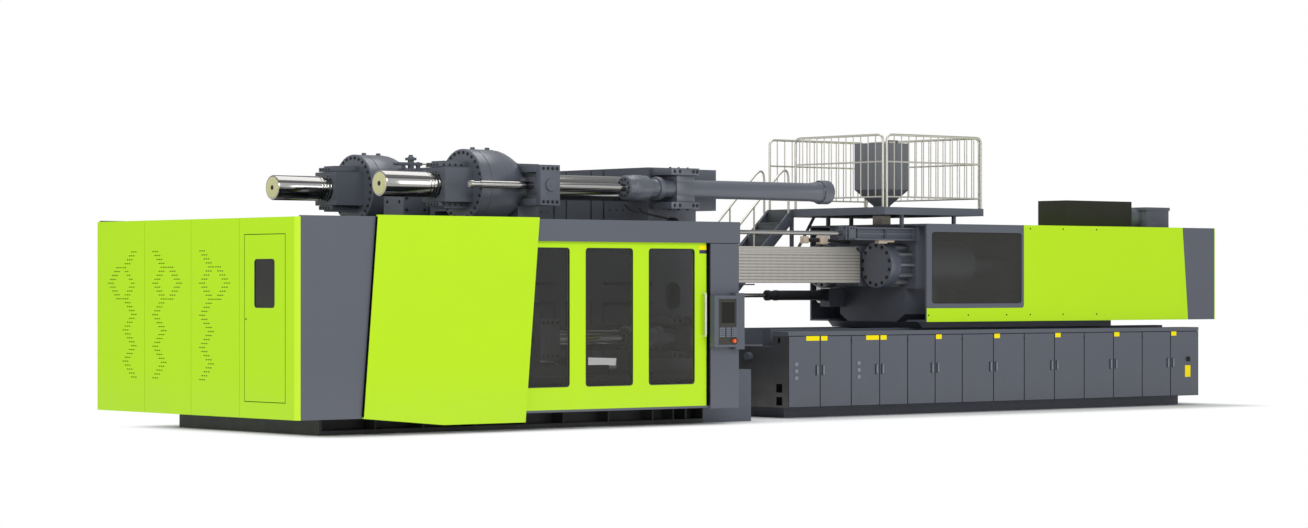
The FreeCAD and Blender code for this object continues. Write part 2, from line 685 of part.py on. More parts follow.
def end_panels():
    """Four sheets side by side on a frame that stands out from the bed."""
    x0, x1 = GUARD_X0, GUARD_X0 + SHEET
    edges = [GUARD_Y] + list(END_SEAMS) + [-GUARD_Y]
    sheets = []
    for left, right in zip(edges, edges[1:]):
        y0 = right + (SEAM / 2 if right > -GUARD_Y else 0)
        y1 = left - (SEAM / 2 if left < GUARD_Y else 0)
        sheets.append(box(x0, x1, y0, y1, GUARD_Z0, GUARD_Z1 - 17))
    opening = box(x0 - 1, x1 + 1, END_DOOR_Y0 - END_GAP, END_DOOR_Y1 + END_GAP,
                  END_DOOR_Z0 - END_GAP, END_DOOR_Z1 + END_GAP)
    sheets[-1] = cut(sheets[-1], [opening])
    inner = GUARD_Y - SHEET
    frame = [box(x1, x1 + FRAME_T, -inner, inner, z, z + FRAME_T)
             for z in (SILL[0], GUARD_Z1 - 17 - FRAME_T)]
    posts = [-inner, END_DOOR_Y0 - FRAME_T, END_DOOR_Y1, END_SEAMS[1] - FRAME_T / 2,
             END_SEAMS[0] - FRAME_T / 2, inner - FRAME_T]
    for y in posts:
        frame.append(box(x1, x1 + FRAME_T, y, y + FRAME_T, SILL[0], GUARD_Z1 - 17))
    for y in (-FOOT_Y - FRAME_T, FOOT_Y):
        frame.append(box(x1 + FRAME_T, BED_X0, y, y + FRAME_T, SILL[0], SILL[0] + FRAME_T))
    stop = box(x1, x1 + FRAME_T / 2, END_DOOR_Y0, END_DOOR_Y1, END_DOOR_Z1 - FRAME_T / 2, END_DOOR_Z1 + FRAME_T)
    foot = box(x1, x1 + FRAME_T / 2, END_DOOR_Y0, END_DOOR_Y1, END_DOOR_Z0 - FRAME_T, END_DOOR_Z0 + FRAME_T / 2)
    return sheets + [fused(frame + [stop, foot])]


def end_door():
    body = box(GUARD_X0, GUARD_X0 + SHEET - DOOR_PLAY, END_DOOR_Y0, END_DOOR_Y1, END_DOOR_Z0, END_DOOR_Z1)
    y0, y1, z0, z1 = END_WIN
    return cut(body, [plate_x(y0, y1, z0, z1, GUARD_X0 - 1, GUARD_X0 + SHEET, WINDOW_R)])


def end_door_pane():
    y0, y1, z0, z1 = END_WIN
    gap = SLIDE
    x = GUARD_X0 + WINDOW_REBATE / 2
    return plate_x(y0 + gap, y1 - gap, z0 + gap, z1 - gap, x, x + PANE_T, WINDOW_R - gap)


# ---------------------------------------------------------------- control box
HMI_Y0 = GUARD_Y + 110.0                # front face
HMI_Y1 = GUARD_Y + 10.0
HMI_X = (383.0, 833.0)
ARM_X = (860.0, 1000.0)
ARM_PROUD = 60.0
LUG_T = 36.0
LUG_X0 = 790.0
BEZEL_DEPTH = 6.0
BEZEL_EDGE = 34.0
STOP_X = 743.0
STOP_Z = 1209.0
STOP_T = 30.0
STOP_STEM_R = 12.0
STOP_GAP = 10.0
STOP_STEM = 22.0


def control_arm():
    """A bracket on the post whose two lugs hold the control box above and below."""
    strip = box(ARM_X[0], ARM_X[1], -GUARD_Y - ARM_PROUD, -GUARD_Y, HMI_Z0 - LUG_T, HMI_Z1 + LUG_T)
    strip = cut(strip, [box(POST_X1, ARM_X[1] + 1, -GUARD_Y - 1, -GUARD_Y + 1, 0, GUARD_Z1)])
    lugs = []
    for z in (HMI_Z0 - LUG_T, HMI_Z1 + DOOR_PLAY):
        lugs.append(box(LUG_X0, ARM_X[0], -HMI_Y0 + 10, -GUARD_Y - 10, z, z + LUG_T - DOOR_PLAY))
    return fused([strip] + lugs)


def control_box():
    body = box(HMI_X[0], HMI_X[1], -HMI_Y0, -HMI_Y1, HMI_Z0, HMI_Z1)
    edge = BEZEL_EDGE
    bezel = box(HMI_X[0] + edge, HMI_X[1] - edge, -HMI_Y0 - 1, -HMI_Y0 + BEZEL_DEPTH,
                HMI_Z0 + edge, HMI_Z1 - edge)
    hole = rod_y(STOP_X, -HMI_Y0, -HMI_Y0 + STOP_STEM + 8, STOP_Z, STOP_STEM_R + SLIDE)
    return cut(body, [bezel, hole])


def stop_button():
    face = -HMI_Y0 + BEZEL_DEPTH
    cap = rod_y(STOP_X, face - STOP_GAP - STOP_T, face - STOP_GAP, STOP_Z, STOP_R)
    stem = rod_y(STOP_X, face - STOP_GAP, -HMI_Y0 + STOP_STEM, STOP_Z, STOP_STEM_R)
    return fused([cap, stem])


save("front_guard_frame", side_frame())
save("rear_guard_frame", mirrored(side_frame()))
save("wedge_panels", wedge_panel(), mirrored(wedge_panel()))
save("front_door", sliding_door())
save("rear_door", mirrored(sliding_door()))
save("front_door_windows", *door_panes())
save("rear_door_windows", *[mirrored(p) for p in door_panes()])
save("end_panels", *end_panels())
save("end_door", end_door())
save("end_door_window", end_door_pane())
save("control_arm", control_arm())
save("control_box", control_box())
save("stop_button", stop_button())


# ---------------------------------------------------------------- injection bed and cabinets
CAB_X1 = CAB_X0 + DOOR_GAP + sum(DOOR_WIDTHS)
CAB_FRONT = CAB_Y - DOOR_SHEET - DOOR_PLAY      # front of the cabinet frames
CAB_IN_Y = CAB_Y - CAB_DEPTH
CAB_SKIN = 20.0
STUB_R = 60.0
STUB_L = 90.0
STUB_Y = -620.0
STUB_Z = 930.0
FAR_Z = 1250.0


def injection_bed():
    """The long box that carries the carriage rails, on a set-back skirt."""
    skirt = box(SKIRT_X0, CAB_X1 - 120.0, -SKIRT_Y, CAB_BACK_Y - 60.0, 0, CAB_Z0)
    centre = box(CAB_X0, CAB_X1, -CAB_IN_Y, CAB_BACK_Y, CAB_Z0, CAB_CENTRE_Z)
    far = box(CAB_X0, CAB_X1, CAB_BACK_Y - 60.0, CAB_BACK_Y, CAB_CENTRE_Z, FAR_Z)
    stub = rod_x(CAB_X0 - STUB_L, CAB_X0, STUB_Y, STUB_Z, STUB_R)
    rails = []
    for side in (-1, 1):
        y = side * CARRIAGE_RAIL_Y
        rails.append(box(CAB_X0 + 200.0, CAB_X1 - 200.0, y - CARRIAGE_RAIL_W / 2, y + CARRIAGE_RAIL_W / 2,
                         CAB_CENTRE_Z, CARRIAGE_Z - SLIDE))
    return fused([skirt, centre, far, stub] + rails)


def pair_edges():
    """X of the walls between the pairs of cabinet doors."""
    edges = [CAB_X0 + CAB_SKIN / 2]
    x = CAB_X0 + DOOR_GAP / 2
    for i in range(0, len(DOOR_WIDTHS), 2):
        x += DOOR_WIDTHS[i] + DOOR_WIDTHS[i + 1]
        edges.append(x + DOOR_GAP / 2)
    edges[-1] = CAB_X1 - CAB_SKIN / 2
    return edges


def cabinet_shell():
    """Back, floor, top and walls of the cabinets, as the separate sheets they are."""
    back = box(CAB_X0, CAB_X1, -CAB_IN_Y - CAB_SKIN, -CAB_IN_Y, CAB_Z0, CAB_Z1 - CAB_LIP)
    top = box(CAB_X0, CAB_X1, -CAB_Y, -CAB_IN_Y, CAB_Z1 - CAB_LIP, CAB_Z1)
    floor = box(CAB_X0, CAB_X1, -CAB_FRONT, -CAB_IN_Y - CAB_SKIN, CAB_Z0, CAB_Z0 + CAB_SKIN)
    walls = []
    for x in pair_edges():
        walls.append(box(x - CAB_SKIN / 2, x + CAB_SKIN / 2, -CAB_FRONT, -CAB_IN_Y - CAB_SKIN,
                         CAB_Z0 + CAB_SKIN, CAB_Z1 - CAB_LIP))
    return [back, top, floor] + walls


PULL = (26.0, 140.0, 18.0)              # width, height, how far a door pull stands out
PULL_Z = 650.0
PULL_EDGE = 60.0
SWITCH_R = 42.0
SWITCH_Z = 775.0
SWITCH_EDGE = 267.0
SWITCH_T = 24.0
SWITCH_HOLE = 14.0
SWITCH_PLAY = 2.0


def door_starts():
    starts = []
    x = CAB_X0 + DOOR_GAP
    for width in DOOR_WIDTHS:
        starts.append(x)
        x += width
    return starts


def cabinet_door(index):
    """A folded door with a pull beside the edge where its pair meets."""
    x0 = door_starts()[index]
    x1 = x0 + DOOR_WIDTHS[index] - DOOR_GAP
    z0, z1 = CAB_Z0, CAB_Z1 - CAB_LIP - DOOR_GAP
    sheet = box(x0, x1, -CAB_Y, -CAB_Y + DOOR_SHEET, z0, z1)
    fold = DOOR_SHEET / 2
    sheet = cut(sheet, [box(x0 + fold, x1 - fold, -CAB_Y + 3, -CAB_Y + DOOR_SHEET + 1, z0 + fold, z1 - fold)])
    free_x = x1 - PULL_EDGE if index % 2 == 0 else x0 + PULL_EDGE
    pull = box(free_x - PULL[0] / 2, free_x + PULL[0] / 2, -CAB_Y - PULL[2], -CAB_Y, PULL_Z, PULL_Z + PULL[1])
    door = fused([sheet, pull])
    if index == len(DOOR_WIDTHS) - 1:
        x = x1 - SWITCH_EDGE
        door = cut(door, [rod_y(x, -CAB_Y - 1, -CAB_Y + DOOR_SHEET, SWITCH_Z, SWITCH_HOLE + SWITCH_PLAY)])
    return door


def main_switch():
    """A rotary knob with a grip bar, on the last cabinet door."""
    x = door_starts()[-1] + DOOR_WIDTHS[-1] - DOOR_GAP - SWITCH_EDGE
    face = -CAB_Y - SLIDE
    disc = rod_y(x, face - SWITCH_T, face, SWITCH_Z, SWITCH_R)
    grip = box(x - 9, x + 9, face - 2 * SWITCH_T, face - SWITCH_T, SWITCH_Z - SWITCH_R * 0.85,
               SWITCH_Z + SWITCH_R * 0.85)
    spindle = rod_y(x, face, -CAB_Y + DOOR_SHEET - 1, SWITCH_Z, SWITCH_HOLE)
    return fused([disc, grip, spindle])


save("injection_bed", injection_bed())
save("cabinet_shell", *cabinet_shell())
for number in range(len(DOOR_WIDTHS)):
    save("cabinet_door_%d" % (number + 1), cabinet_door(number))
save("main_switch", main_switch())

# ---------------------------------------------------------------- injection unit
BASE_X = (PLATE_X, 6700.0)
BASE_Y = 750.0
BASE_TOP = 2000.0
SLED_TOP = 1436.0
SLED_X1 = 10500.0
SLED_Y = 1040.0
SLED_SLOPE = 100.0
NECK_Y = 560.0         # half width at the foot of the body's tapered neck
NECK_Z = 1555.0
BLOCK_HALF = 262.0
BLOCK_TOP = 2640.0
BLOCK_END = 6400.0
PLATE_Y = 994.0
PLATE_TOP = IGUARD_Z1 - 30.0
PLATE_LOW = 1960.0
THROAT_R = 60.0        # half width of the square feed throat
LOW_CYL_END = 5680.0
LOW_LUG = (110.0, 185.0)                # half width and half height of the lower cylinder's seat
BARREL_X1 = BLOCK_END + 80.0


def injection_base():
    """The cast carriage: sled, body, the block round the barrel and the plate that takes the thrust."""
    sled = prism([(BASE_X[0], -SLED_Y, SLED_TOP), (BASE_X[0] + SLED_SLOPE, -SLED_Y, CARRIAGE_Z),
                  (SLED_X1, -SLED_Y, CARRIAGE_Z), (SLED_X1, -SLED_Y, SLED_TOP)], (0, 2 * SLED_Y, 0))
    neck = prism([(BASE_X[0], -BASE_Y, NECK_Z), (BASE_X[0], -NECK_Y, SLED_TOP),
                  (BASE_X[0], NECK_Y, SLED_TOP), (BASE_X[0], BASE_Y, NECK_Z)], (BASE_X[1] - BASE_X[0], 0, 0))
    body = box(BASE_X[0], BASE_X[1], -BASE_Y, BASE_Y, NECK_Z, BASE_TOP)
    block = box(COVER_X1, BLOCK_END, -BLOCK_HALF, BLOCK_HALF, BASE_TOP, BLOCK_TOP)
    plate = box(PLATE_X, PLATE_X + PLATE_T, -PLATE_Y, PLATE_Y, PLATE_LOW, PLATE_TOP)
    pieces = [sled, neck, body, block, plate]
    half_y, half_z = LOW_LUG
    pieces.append(box(LOW_CYL_END, BASE_X[0], LOW_CYL_Y - half_y, LOW_CYL_Y + half_y,
                      LOW_CYL_Z - half_z, LOW_CYL_Z + half_y))
    whole = fused(pieces)
    tools = [rod_x(COVER_X1 - 1, BLOCK_END + 1, 0, AXIS_Z, BARREL_R + SLIDE),
             box(HOPPER_X - THROAT_R, HOPPER_X + THROAT_R, -THROAT_R, THROAT_R, AXIS_Z, BLOCK_TOP + 1)]
    half = PIPE_W / 2 + SLIDE
    tools.append(box(HOPPER_X - half, PLATE_X + PLATE_T + 1, -half, half, BLOCK_TOP, PLATE_TOP + 1))
    for side in (-1, 1):
        y = side * INJ_Y
        tools.append(rod_x(PLATE_X + PLATE_T, BASE_X[1] + 1, y, AXIS_Z, INJ_R + SLIDE))
        tools.append(rod_x(PLATE_X - 1, PLATE_X + PLATE_T + 1, y, AXIS_Z, INJ_ROD_R + SLIDE))
    return cut(whole, tools)


NOZZLE_TIP_X = 60.0
NOZZLE_TIP_R = 30.0
HEAD_COLLAR_R = 150.0
HEAD_COLLAR_X = 1150.0
SCREW_ROOM_X = 1350.0


def barrel():
    profile = [(NOZZLE_TIP_X, 0), (NOZZLE_TIP_X, NOZZLE_TIP_R), (NOZZLE_TIP_X + 60, NOZZLE_R),
               (HEAD_COLLAR_X, NOZZLE_R), (HEAD_COLLAR_X, HEAD_COLLAR_R), (BARREL_X0, HEAD_COLLAR_R),
               (BARREL_X0, BARREL_R), (BARREL_X1, BARREL_R), (BARREL_X1, 0)]
    room = round_x(SCREW_ROOM_X, BARREL_X1 + 1, 0, AXIS_Z, SCREW_R + SLIDE)
    return cut(turned_x(profile, 0, AXIS_Z), [room])


BEVEL_SHARE = 0.4      # how much of a wall's thickness a bevel loses on the inside


def cover_outline(inset):
    y, z, c = COVER_Y - inset, COVER_Z - inset, COVER_CHAMFER - inset * BEVEL_SHARE
    return [(-y, AXIS_Z - z), (-y, AXIS_Z + z - c), (-y + c, AXIS_Z + z),
            (y - c, AXIS_Z + z), (y, AXIS_Z + z - c), (y, AXIS_Z - z)]


def barrel_cover():
    """A folded sheet tube with its upper edges bevelled."""
    length = COVER_X1 - COVER_X0
    outer = prism([(COVER_X0, y, z) for y, z in cover_outline(0)], (length, 0, 0))
    inner = prism([(COVER_X0 - 1, y, z) for y, z in cover_outline(COVER_SHEET)], (length + 2, 0, 0))
    return cut(outer, [inner])


FIN_COUNT = 12
FIN_ARC = 0.3          # part of each pitch that the fin fills
FIN_R = 345.0
CORE_R = 285.0
CORE_BORE_X = 5560.0


def finned(y):
    """The outline of a round body with lengthwise fins."""
    points = []
    pitch = 2 * math.pi / FIN_COUNT
    for i in range(FIN_COUNT):
        for part, r in ((-FIN_ARC / 2, CORE_R), (-FIN_ARC / 2, FIN_R), (FIN_ARC / 2, FIN_R), (FIN_ARC / 2, CORE_R)):
            t = pitch * (i + part)
            points.append((DISC_X, y + r * math.cos(t), AXIS_Z + r * math.sin(t)))
    return points


def injection_cylinders():
    """On each side a finned front half with a wide cover disc, and a plain rear drum."""
    solids = []
    for side in (-1, 1):
        y = side * INJ_Y
        front = fused([prism(finned(y), (PLATE_X - DISC_X, 0, 0)), rod_x(DISC_X, DISC_X + DISC_T, y, AXIS_Z, INJ_R)])
        solids.append(cut(front, [rod_x(CORE_BORE_X, PLATE_X + 1, y, AXIS_Z, INJ_ROD_R + SLIDE)]))
        drum = rod_x(PLATE_X + PLATE_T, DRUM_X1, y, AXIS_Z, INJ_R)
        solids.append(cut(drum, [rod_x(PLATE_X, DRUM_X1 + 1, y, AXIS_Z, INJ_ROD_R + SLIDE)]))
    return solids


LOW_ROD_R = 34.0
LOW_TUBE_R = 79.0
LOW_GLAND_R = 84.0
LOW_GLAND_X = (4410.0, 4651.0)
LOW_ROD_X1 = 5500.0
UPPER_HALF = 100.0
UPPER_HEAD = 115.0
UPPER_FLANGE = 130.0
UPPER_X0 = 4430.0
UPPER_HEAD_T = 210.0
UPPER_FLANGE_T = 58.0
UPPER_ROD_X1 = 5500.0


LOW_CAP = 40.0          # solid end of the lower tube
BEAM_POCKET = 50.0     # depth of the bays in the outer face of an upper beam
BEAM_EDGE = 25.0
BEAM_BAYS = ((4700.0, 5290.0), (5330.0, 5920.0))


def carriage_cylinders():
    """A square pull cylinder above on the operator's side and a round one below on the far side."""
    profile = [(LOW_GLAND_X[0], 0), (LOW_GLAND_X[0], LOW_GLAND_R), (LOW_GLAND_X[1], LOW_GLAND_R),
               (LOW_GLAND_X[1], LOW_TUBE_R), (LOW_CYL_END, LOW_TUBE_R), (LOW_CYL_END, 0)]
    bore = rod_x(LOW_GLAND_X[0] - 1, LOW_CYL_END - LOW_CAP, LOW_CYL_Y, LOW_CYL_Z, LOW_ROD_R + SLIDE)
    lower = cut(turned_x(profile, LOW_CYL_Y, LOW_CYL_Z), [bore])
    y, z = -UPPER_ROD_Y, UPPER_ROD_Z
    sizes = ((UPPER_X0, UPPER_X0 + UPPER_HEAD_T, UPPER_HEAD),
             (UPPER_X0 + UPPER_HEAD_T, PLATE_X - UPPER_FLANGE_T, UPPER_HALF),
             (PLATE_X - UPPER_FLANGE_T, PLATE_X, UPPER_FLANGE))
    beam = fused([box(x0, x1, y - h, y + h, z - UPPER_HALF, z + h) for x0, x1, h in sizes])
    tools = [rod_x(UPPER_X0 - 1, PLATE_X - UPPER_FLANGE_T, y, z, LOW_ROD_R + SLIDE)]
    for x0, x1 in BEAM_BAYS:
        tools.append(box(x0, x1, y - UPPER_HALF - 1, y - UPPER_HALF + BEAM_POCKET,
                         z - UPPER_HALF + BEAM_EDGE, z + UPPER_HALF - BEAM_EDGE))
    return [lower, cut(beam, tools)]


def carriage_rods():
    """Rods that stand on the back of the fixed platen."""
    rods = [rod_x(FIXED_T, LOW_ROD_X1, LOW_CYL_Y, LOW_CYL_Z, LOW_ROD_R),
            rod_x(FIXED_T, UPPER_ROD_X1, -UPPER_ROD_Y, UPPER_ROD_Z, LOW_ROD_R)]
    return rods


GUARD_SHEET = 30.0
GUARD_FLOOR_IN = 900.0


def injection_guard():
    """Two side sheets, roof, end sheet and the floor strips that rest on the sled."""
    z0, z1 = SLED_TOP, IGUARD_Z1
    y = IGUARD_Y
    outer = box(IGUARD_X0, IGUARD_X1, -y, y, z0, z1)
    room = box(IGUARD_X0 - 1, IGUARD_X1 - GUARD_SHEET, -y + GUARD_SHEET, y - GUARD_SHEET,
               z0 + GUARD_SHEET, z1 - GUARD_SHEET)
    below = box(IGUARD_X0 - 1, IGUARD_X1 - GUARD_SHEET, -GUARD_FLOOR_IN, GUARD_FLOOR_IN, z0 - 1, z0 + GUARD_SHEET + 1)
    half = PIPE_W / 2 + SLIDE
    pipe_way = box(HOPPER_X - half, HOPPER_X + half, -half, half, z1 - GUARD_SHEET - 1, z1 + 1)
    tools = [room, below, pipe_way]
    for side in (-1, 1):
        ys = sorted((side * (y - GUARD_SHEET - 1), side * (y + 1)))
        tools.append(plate_y(PANE[0], PANE[1], PANE[2], PANE[3], ys[0], ys[1], WINDOW_R))
    return cut(outer, tools)


def guard_panes():
    gap = SLIDE
    pane = plate_y(PANE[0] + gap, PANE[1] - gap, PANE[2] + gap, PANE[3] - gap,
                   -IGUARD_Y + WINDOW_REBATE / 2, -IGUARD_Y + WINDOW_REBATE / 2 + PANE_T, WINDOW_R - gap)
    return [pane, mirrored(pane)]


ROOF_BOX = (10180.0, 11810.0, 330.0, 390.0)
ROOF_MOTOR = (12700.0, 250.0, 300.0)
ROOF_DRUM = (390.0, 150.0)              # length and radius of the round motor next to the large box


def top_boxes():
    x0, x1, half, height = ROOF_BOX
    large = box(x0, x1, -half, half, IGUARD_Z1, IGUARD_Z1 + height)
    end, half2, height2 = ROOF_MOTOR
    length, r = ROOF_DRUM
    small = box(x1 + length, end, -half2, half2, IGUARD_Z1, IGUARD_Z1 + height2)
    drum = rod_x(x1, x1 + length, 0, IGUARD_Z1 + height2 / 2, r)
    foot = box(x1, x1 + length, -r / 2, r / 2, IGUARD_Z1, IGUARD_Z1 + height2 / 2)
    return [large, fused([small, drum, foot])]


HEAD_Y = 830.0
HEAD_Z = (1930.0, 2740.0)
LEG_Y = (480.0, 700.0)
ROD_X0 = 6500.0
MOTOR_R = 300.0
MOTOR_L = 900.0
SCREW_TIP_X = SCREW_ROOM_X + 40.0 + INJ_STROKE
SCREW_NECK_R = 75.0
SCREW_NECK_X = 7600.0
SPINDLE_DEPTH = 200.0


def drive_head():
    """The crosshead on its two legs, with the injection rods in front and the motor behind."""
    x1 = HEAD_X + HEAD_T
    head = box(HEAD_X, x1, -HEAD_Y, HEAD_Y, HEAD_Z[0], HEAD_Z[1])
    legs = []
    for side in (-1, 1):
        ys = sorted((side * LEG_Y[0], side * LEG_Y[1]))
        legs.append(box(HEAD_X, x1, ys[0], ys[1], SLED_TOP + SLIDE, HEAD_Z[0]))
    socket = round_x(HEAD_X - 1, HEAD_X + SPINDLE_DEPTH, 0, AXIS_Z, SCREW_NECK_R + SLIDE)
    rods = [rod_x(ROD_X0, HEAD_X, side * INJ_Y, AXIS_Z, INJ_ROD_R) for side in (-1, 1)]
    motor = rod_x(x1, x1 + MOTOR_L, 0, AXIS_Z, MOTOR_R)
    return [cut(fused([head] + legs), [socket])] + rods + [motor]


def screw():
    end = HEAD_X + SPINDLE_DEPTH - SLIDE
    return fused([round_x(SCREW_TIP_X, SCREW_NECK_X, 0, AXIS_Z, SCREW_R),
                  round_x(SCREW_NECK_X, end, 0, AXIS_Z, SCREW_NECK_R)])


# ---------------------------------------------------------------- platform, stairs, hopper
BEAM_W = 60.0
DECK_PLATE = 20.0
LANDING_X1 = 5900.0
LANDING_Y1 = STAIR_Y0 + STAIR_W
POST_HALF = 25.0
NEAR_POSTS = (5735.0, 6888.0)
FAR_POSTS = (5960.0, 6473.0)
STRUT_X = 5302.0
STRUT_LOW_Z = 2400.0
STRUT_TOP_X = 5800.0


def platform():
    """A deck of framed sheet on short posts, with a landing for the stairs."""
    deck = box(DECK_X0, DECK_X1, -DECK_Y, DECK_Y, DECK_Z0, DECK_Z1)
    under = box(DECK_X0 + BEAM_W, DECK_X1 - BEAM_W, -DECK_Y + BEAM_W, DECK_Y - BEAM_W,
                DECK_Z0 - 1, DECK_Z1 - DECK_PLATE)
    landing = box(DECK_X0, LANDING_X1, DECK_Y, LANDING_Y1, DECK_Z0, DECK_Z1)
    under_landing = box(DECK_X0 + BEAM_W, LANDING_X1 - BEAM_W, DECK_Y, LANDING_Y1 - BEAM_W,
                        DECK_Z0 - 1, DECK_Z1 - DECK_PLATE)
    half = PIPE_W / 2 + SLIDE
    pipe_way = box(HOPPER_X - half, HOPPER_X + half, -half, half, DECK_Z0, DECK_Z1 + 1)
    whole = cut(fused([deck, landing]), [under, under_landing, pipe_way])
    posts = []
    for side, places in ((-1, NEAR_POSTS), (1, FAR_POSTS)):
        y = side * UPPER_ROD_Y
        for x in places:
            foot = IGUARD_Z1 if x > IGUARD_X0 else UPPER_ROD_Z + UPPER_HALF
            posts.append(box(x - POST_HALF, x + POST_HALF, y - POST_HALF, y + POST_HALF, foot, DECK_Z1 - 1))
            posts.append(box(x - POST_HALF, x + POST_HALF, min(y, side * DECK_Y), max(y, side * DECK_Y),
                             DECK_Z0, DECK_Z1 - 1))
    strut_y = DECK_Y + BEAM_W
    strut = box(STRUT_X - POST_HALF, STRUT_X + POST_HALF, strut_y - POST_HALF, strut_y + POST_HALF,
                STRUT_LOW_Z - POST_HALF, DECK_Z0 + 1)
    brace = bar((STRUT_X, strut_y, STRUT_LOW_Z), (STRUT_TOP_X, strut_y, DECK_Z0 + 10), POST_HALF, 4)
    return fused([whole, strut, brace] + posts)


CORNER_R = 110.0
MID_RAIL = 711.0
LOW_RAIL = 161.0
THIN_R = 14.0


def bent_tube(points, reach, r, sides=6):
    """A tube through points, mitred, with each corner eased over a given reach."""
    nodes = [V(*p) for p in points]
    path = [nodes[0]]
    for i in range(1, len(nodes) - 1):
        p0 = nodes[i] + (nodes[i - 1] - nodes[i]).normalize() * reach
        p1 = nodes[i] + (nodes[i + 1] - nodes[i]).normalize() * reach
        path += [p0, (p0 + p1) * 0.25 + nodes[i] * 0.5, p1]
    path.append(nodes[-1])
    normal = (nodes[1] - nodes[0]).cross(nodes[2] - nodes[1]).normalize()
    rings = []
    for i, node in enumerate(path):
        before = (node - path[i - 1]).normalize() if i > 0 else (path[1] - node).normalize()
        after = (path[i + 1] - node).normalize() if i < len(path) - 1 else before
        across = normal.cross((before + after).normalize())
        stretch = 1 / math.cos(before.getAngle(after) / 2)
        ring = []
        for k in range(sides):
            t = 2 * math.pi * (k + 0.5) / sides
            ring.append(node + normal * (r * math.cos(t)) + across * (r * stretch * math.sin(t)))
        rings.append(ring)
    faces = [Part.Face(outline(rings[0])), Part.Face(outline(rings[-1]))]
    for low, high in zip(rings, rings[1:]):
        faces += between(low, high)
    return sewn(faces)


def rail_panel(p0, p1, foot, top):
    """A hooped frame between two points on the deck, with a middle and a low rail and upright bars."""
    (x0, y0), (x1, y1) = p0, p1
    pieces = [bent_tube([(x0, y0, foot), (x0, y0, top), (x1, y1, top), (x1, y1, foot)], CORNER_R, RAIL_R)]
    for rise in (MID_RAIL, LOW_RAIL):
        pieces.append(bar((x0, y0, foot + rise), (x1, y1, foot + rise), THIN_R, 4))
    count = int(math.hypot(x1 - x0, y1 - y0) / BALUSTER_PITCH + 0.5)
    half = BALUSTER / 2
    for i in range(1, count):
        x = x0 + (x1 - x0) * i / count
        y = y0 + (y1 - y0) * i / count
        pieces.append(box(x - half, x + half, y - half, y + half, foot + LOW_RAIL, top))
    return fused(pieces)


RAIL_IN = 30.0


def handrails():
    x0, x1, y = DECK_X0 + RAIL_IN, DECK_X1 - RAIL_IN, DECK_Y - RAIL_IN
    top = DECK_Z1 + RAIL_TOP
    gap = 2 * RAIL_R + 12.0
    spans = [((x0, y), (x0, -y + gap)), ((x0 + gap, -y), (x1, -y)), ((x1, -y + gap), (x1, y - gap)),
             ((x1, y), (LANDING_X1 + gap, y)),
             ((LANDING_X1 - RAIL_IN, LANDING_Y1 - RAIL_IN), (x0 + gap, LANDING_Y1 - RAIL_IN))]
    return [rail_panel(a, b, DECK_Z1, top) for a, b in spans]


STEP_COUNT = 15
TREAD_D = 235.0
TREAD_T = 25.0
STRINGER_T = 14.0
STRINGER_H = 230.0
STRINGER_NOSE = 60.0   # how far a stringer's foot runs on
TREAD_NOSE = 30.0      # how far a tread stands over the one below
HAND_LOW = 160.0       # from the stringer's foot to the handrail's lower post
HAND_LIFT = 60.0
HAND_FOOT = 100.0
HAND_BED = 40.0        # how deep a post stands in its stringer
HAND_R = 17.0
HAND_POST_R = 14.0
HAND_TOP = (5205.0, 3905.0)
HAND_ARC = 90.0
HAND_POST_STEP = 740.0


def stairs():
    """Two stringers with treads between them and a hooped handrail on each side."""
    slope = math.tan(math.radians(STAIR_SLOPE))
    rise = (DECK_Z1 - STAIR_FOOT) / STEP_COUNT
    run = rise / slope
    x_top = DECK_X0
    x_low = x_top - (DECK_Z1 - STAIR_FOOT) / slope
    side = [(x_top, DECK_Z1), (x_top, DECK_Z1 - STRINGER_H), (x_low + STRINGER_H / slope, STAIR_FOOT),
            (x_low - STRINGER_NOSE, STAIR_FOOT), (x_low - STRINGER_NOSE, STAIR_FOOT + STRINGER_NOSE)]
    pieces = []
    for y in (STAIR_Y0, STAIR_Y0 + STAIR_W - STRINGER_T):
        pieces.append(prism([(x, y, z) for x, z in side], (0, STRINGER_T, 0)))
    for i in range(1, STEP_COUNT):
        z = DECK_Z1 - i * rise
        x = x_top - i * run
        x0 = x - TREAD_NOSE
        pieces.append(box(x0, x0 + TREAD_D, STAIR_Y0 + STRINGER_T, STAIR_Y0 + STAIR_W - STRINGER_T, z - TREAD_T, z))
    x_hand, z_hand = HAND_TOP
    low_x = x_low + HAND_LOW
    low_z = z_hand - (x_hand - low_x) * slope
    for y in (STAIR_Y0 + STRINGER_T / 2, STAIR_Y0 + STAIR_W - STRINGER_T / 2):
        foot_z = DECK_Z1 - (x_top - x_hand) * slope - HAND_BED
        hand = [(x_hand, y, foot_z), (x_hand, y, z_hand + HAND_LIFT), (low_x, y, low_z + HAND_LIFT),
                (low_x, y, STAIR_FOOT + HAND_FOOT)]
        pieces.append(bent_tube(hand, HAND_ARC, HAND_R))
        for i in (1, 2, 3):
            x = x_hand - i * HAND_POST_STEP
            base = DECK_Z1 - (x_top - x) * slope - HAND_BED
            top = z_hand + HAND_LIFT - (x_hand - x) * slope
            pieces.append(bar((x, y, base), (x, y, top), HAND_POST_R, 4))
    return fused(pieces)


HOPPER_CHAMFER = 98.0
HOPPER_WALL = 8.0
PIPE_CHAMFER = 12.0
SEAT_W = 300.0
SEAT_T = 20.0
LID_T = 18.0
LID_GRIP = (220.0, 30.0, 50.0)          # length, depth, height
LID_GRIP_Y = 90.0
LID_GRIP_BAR = (25.0, 20.0)             # thickness of the grip's posts and of its bar


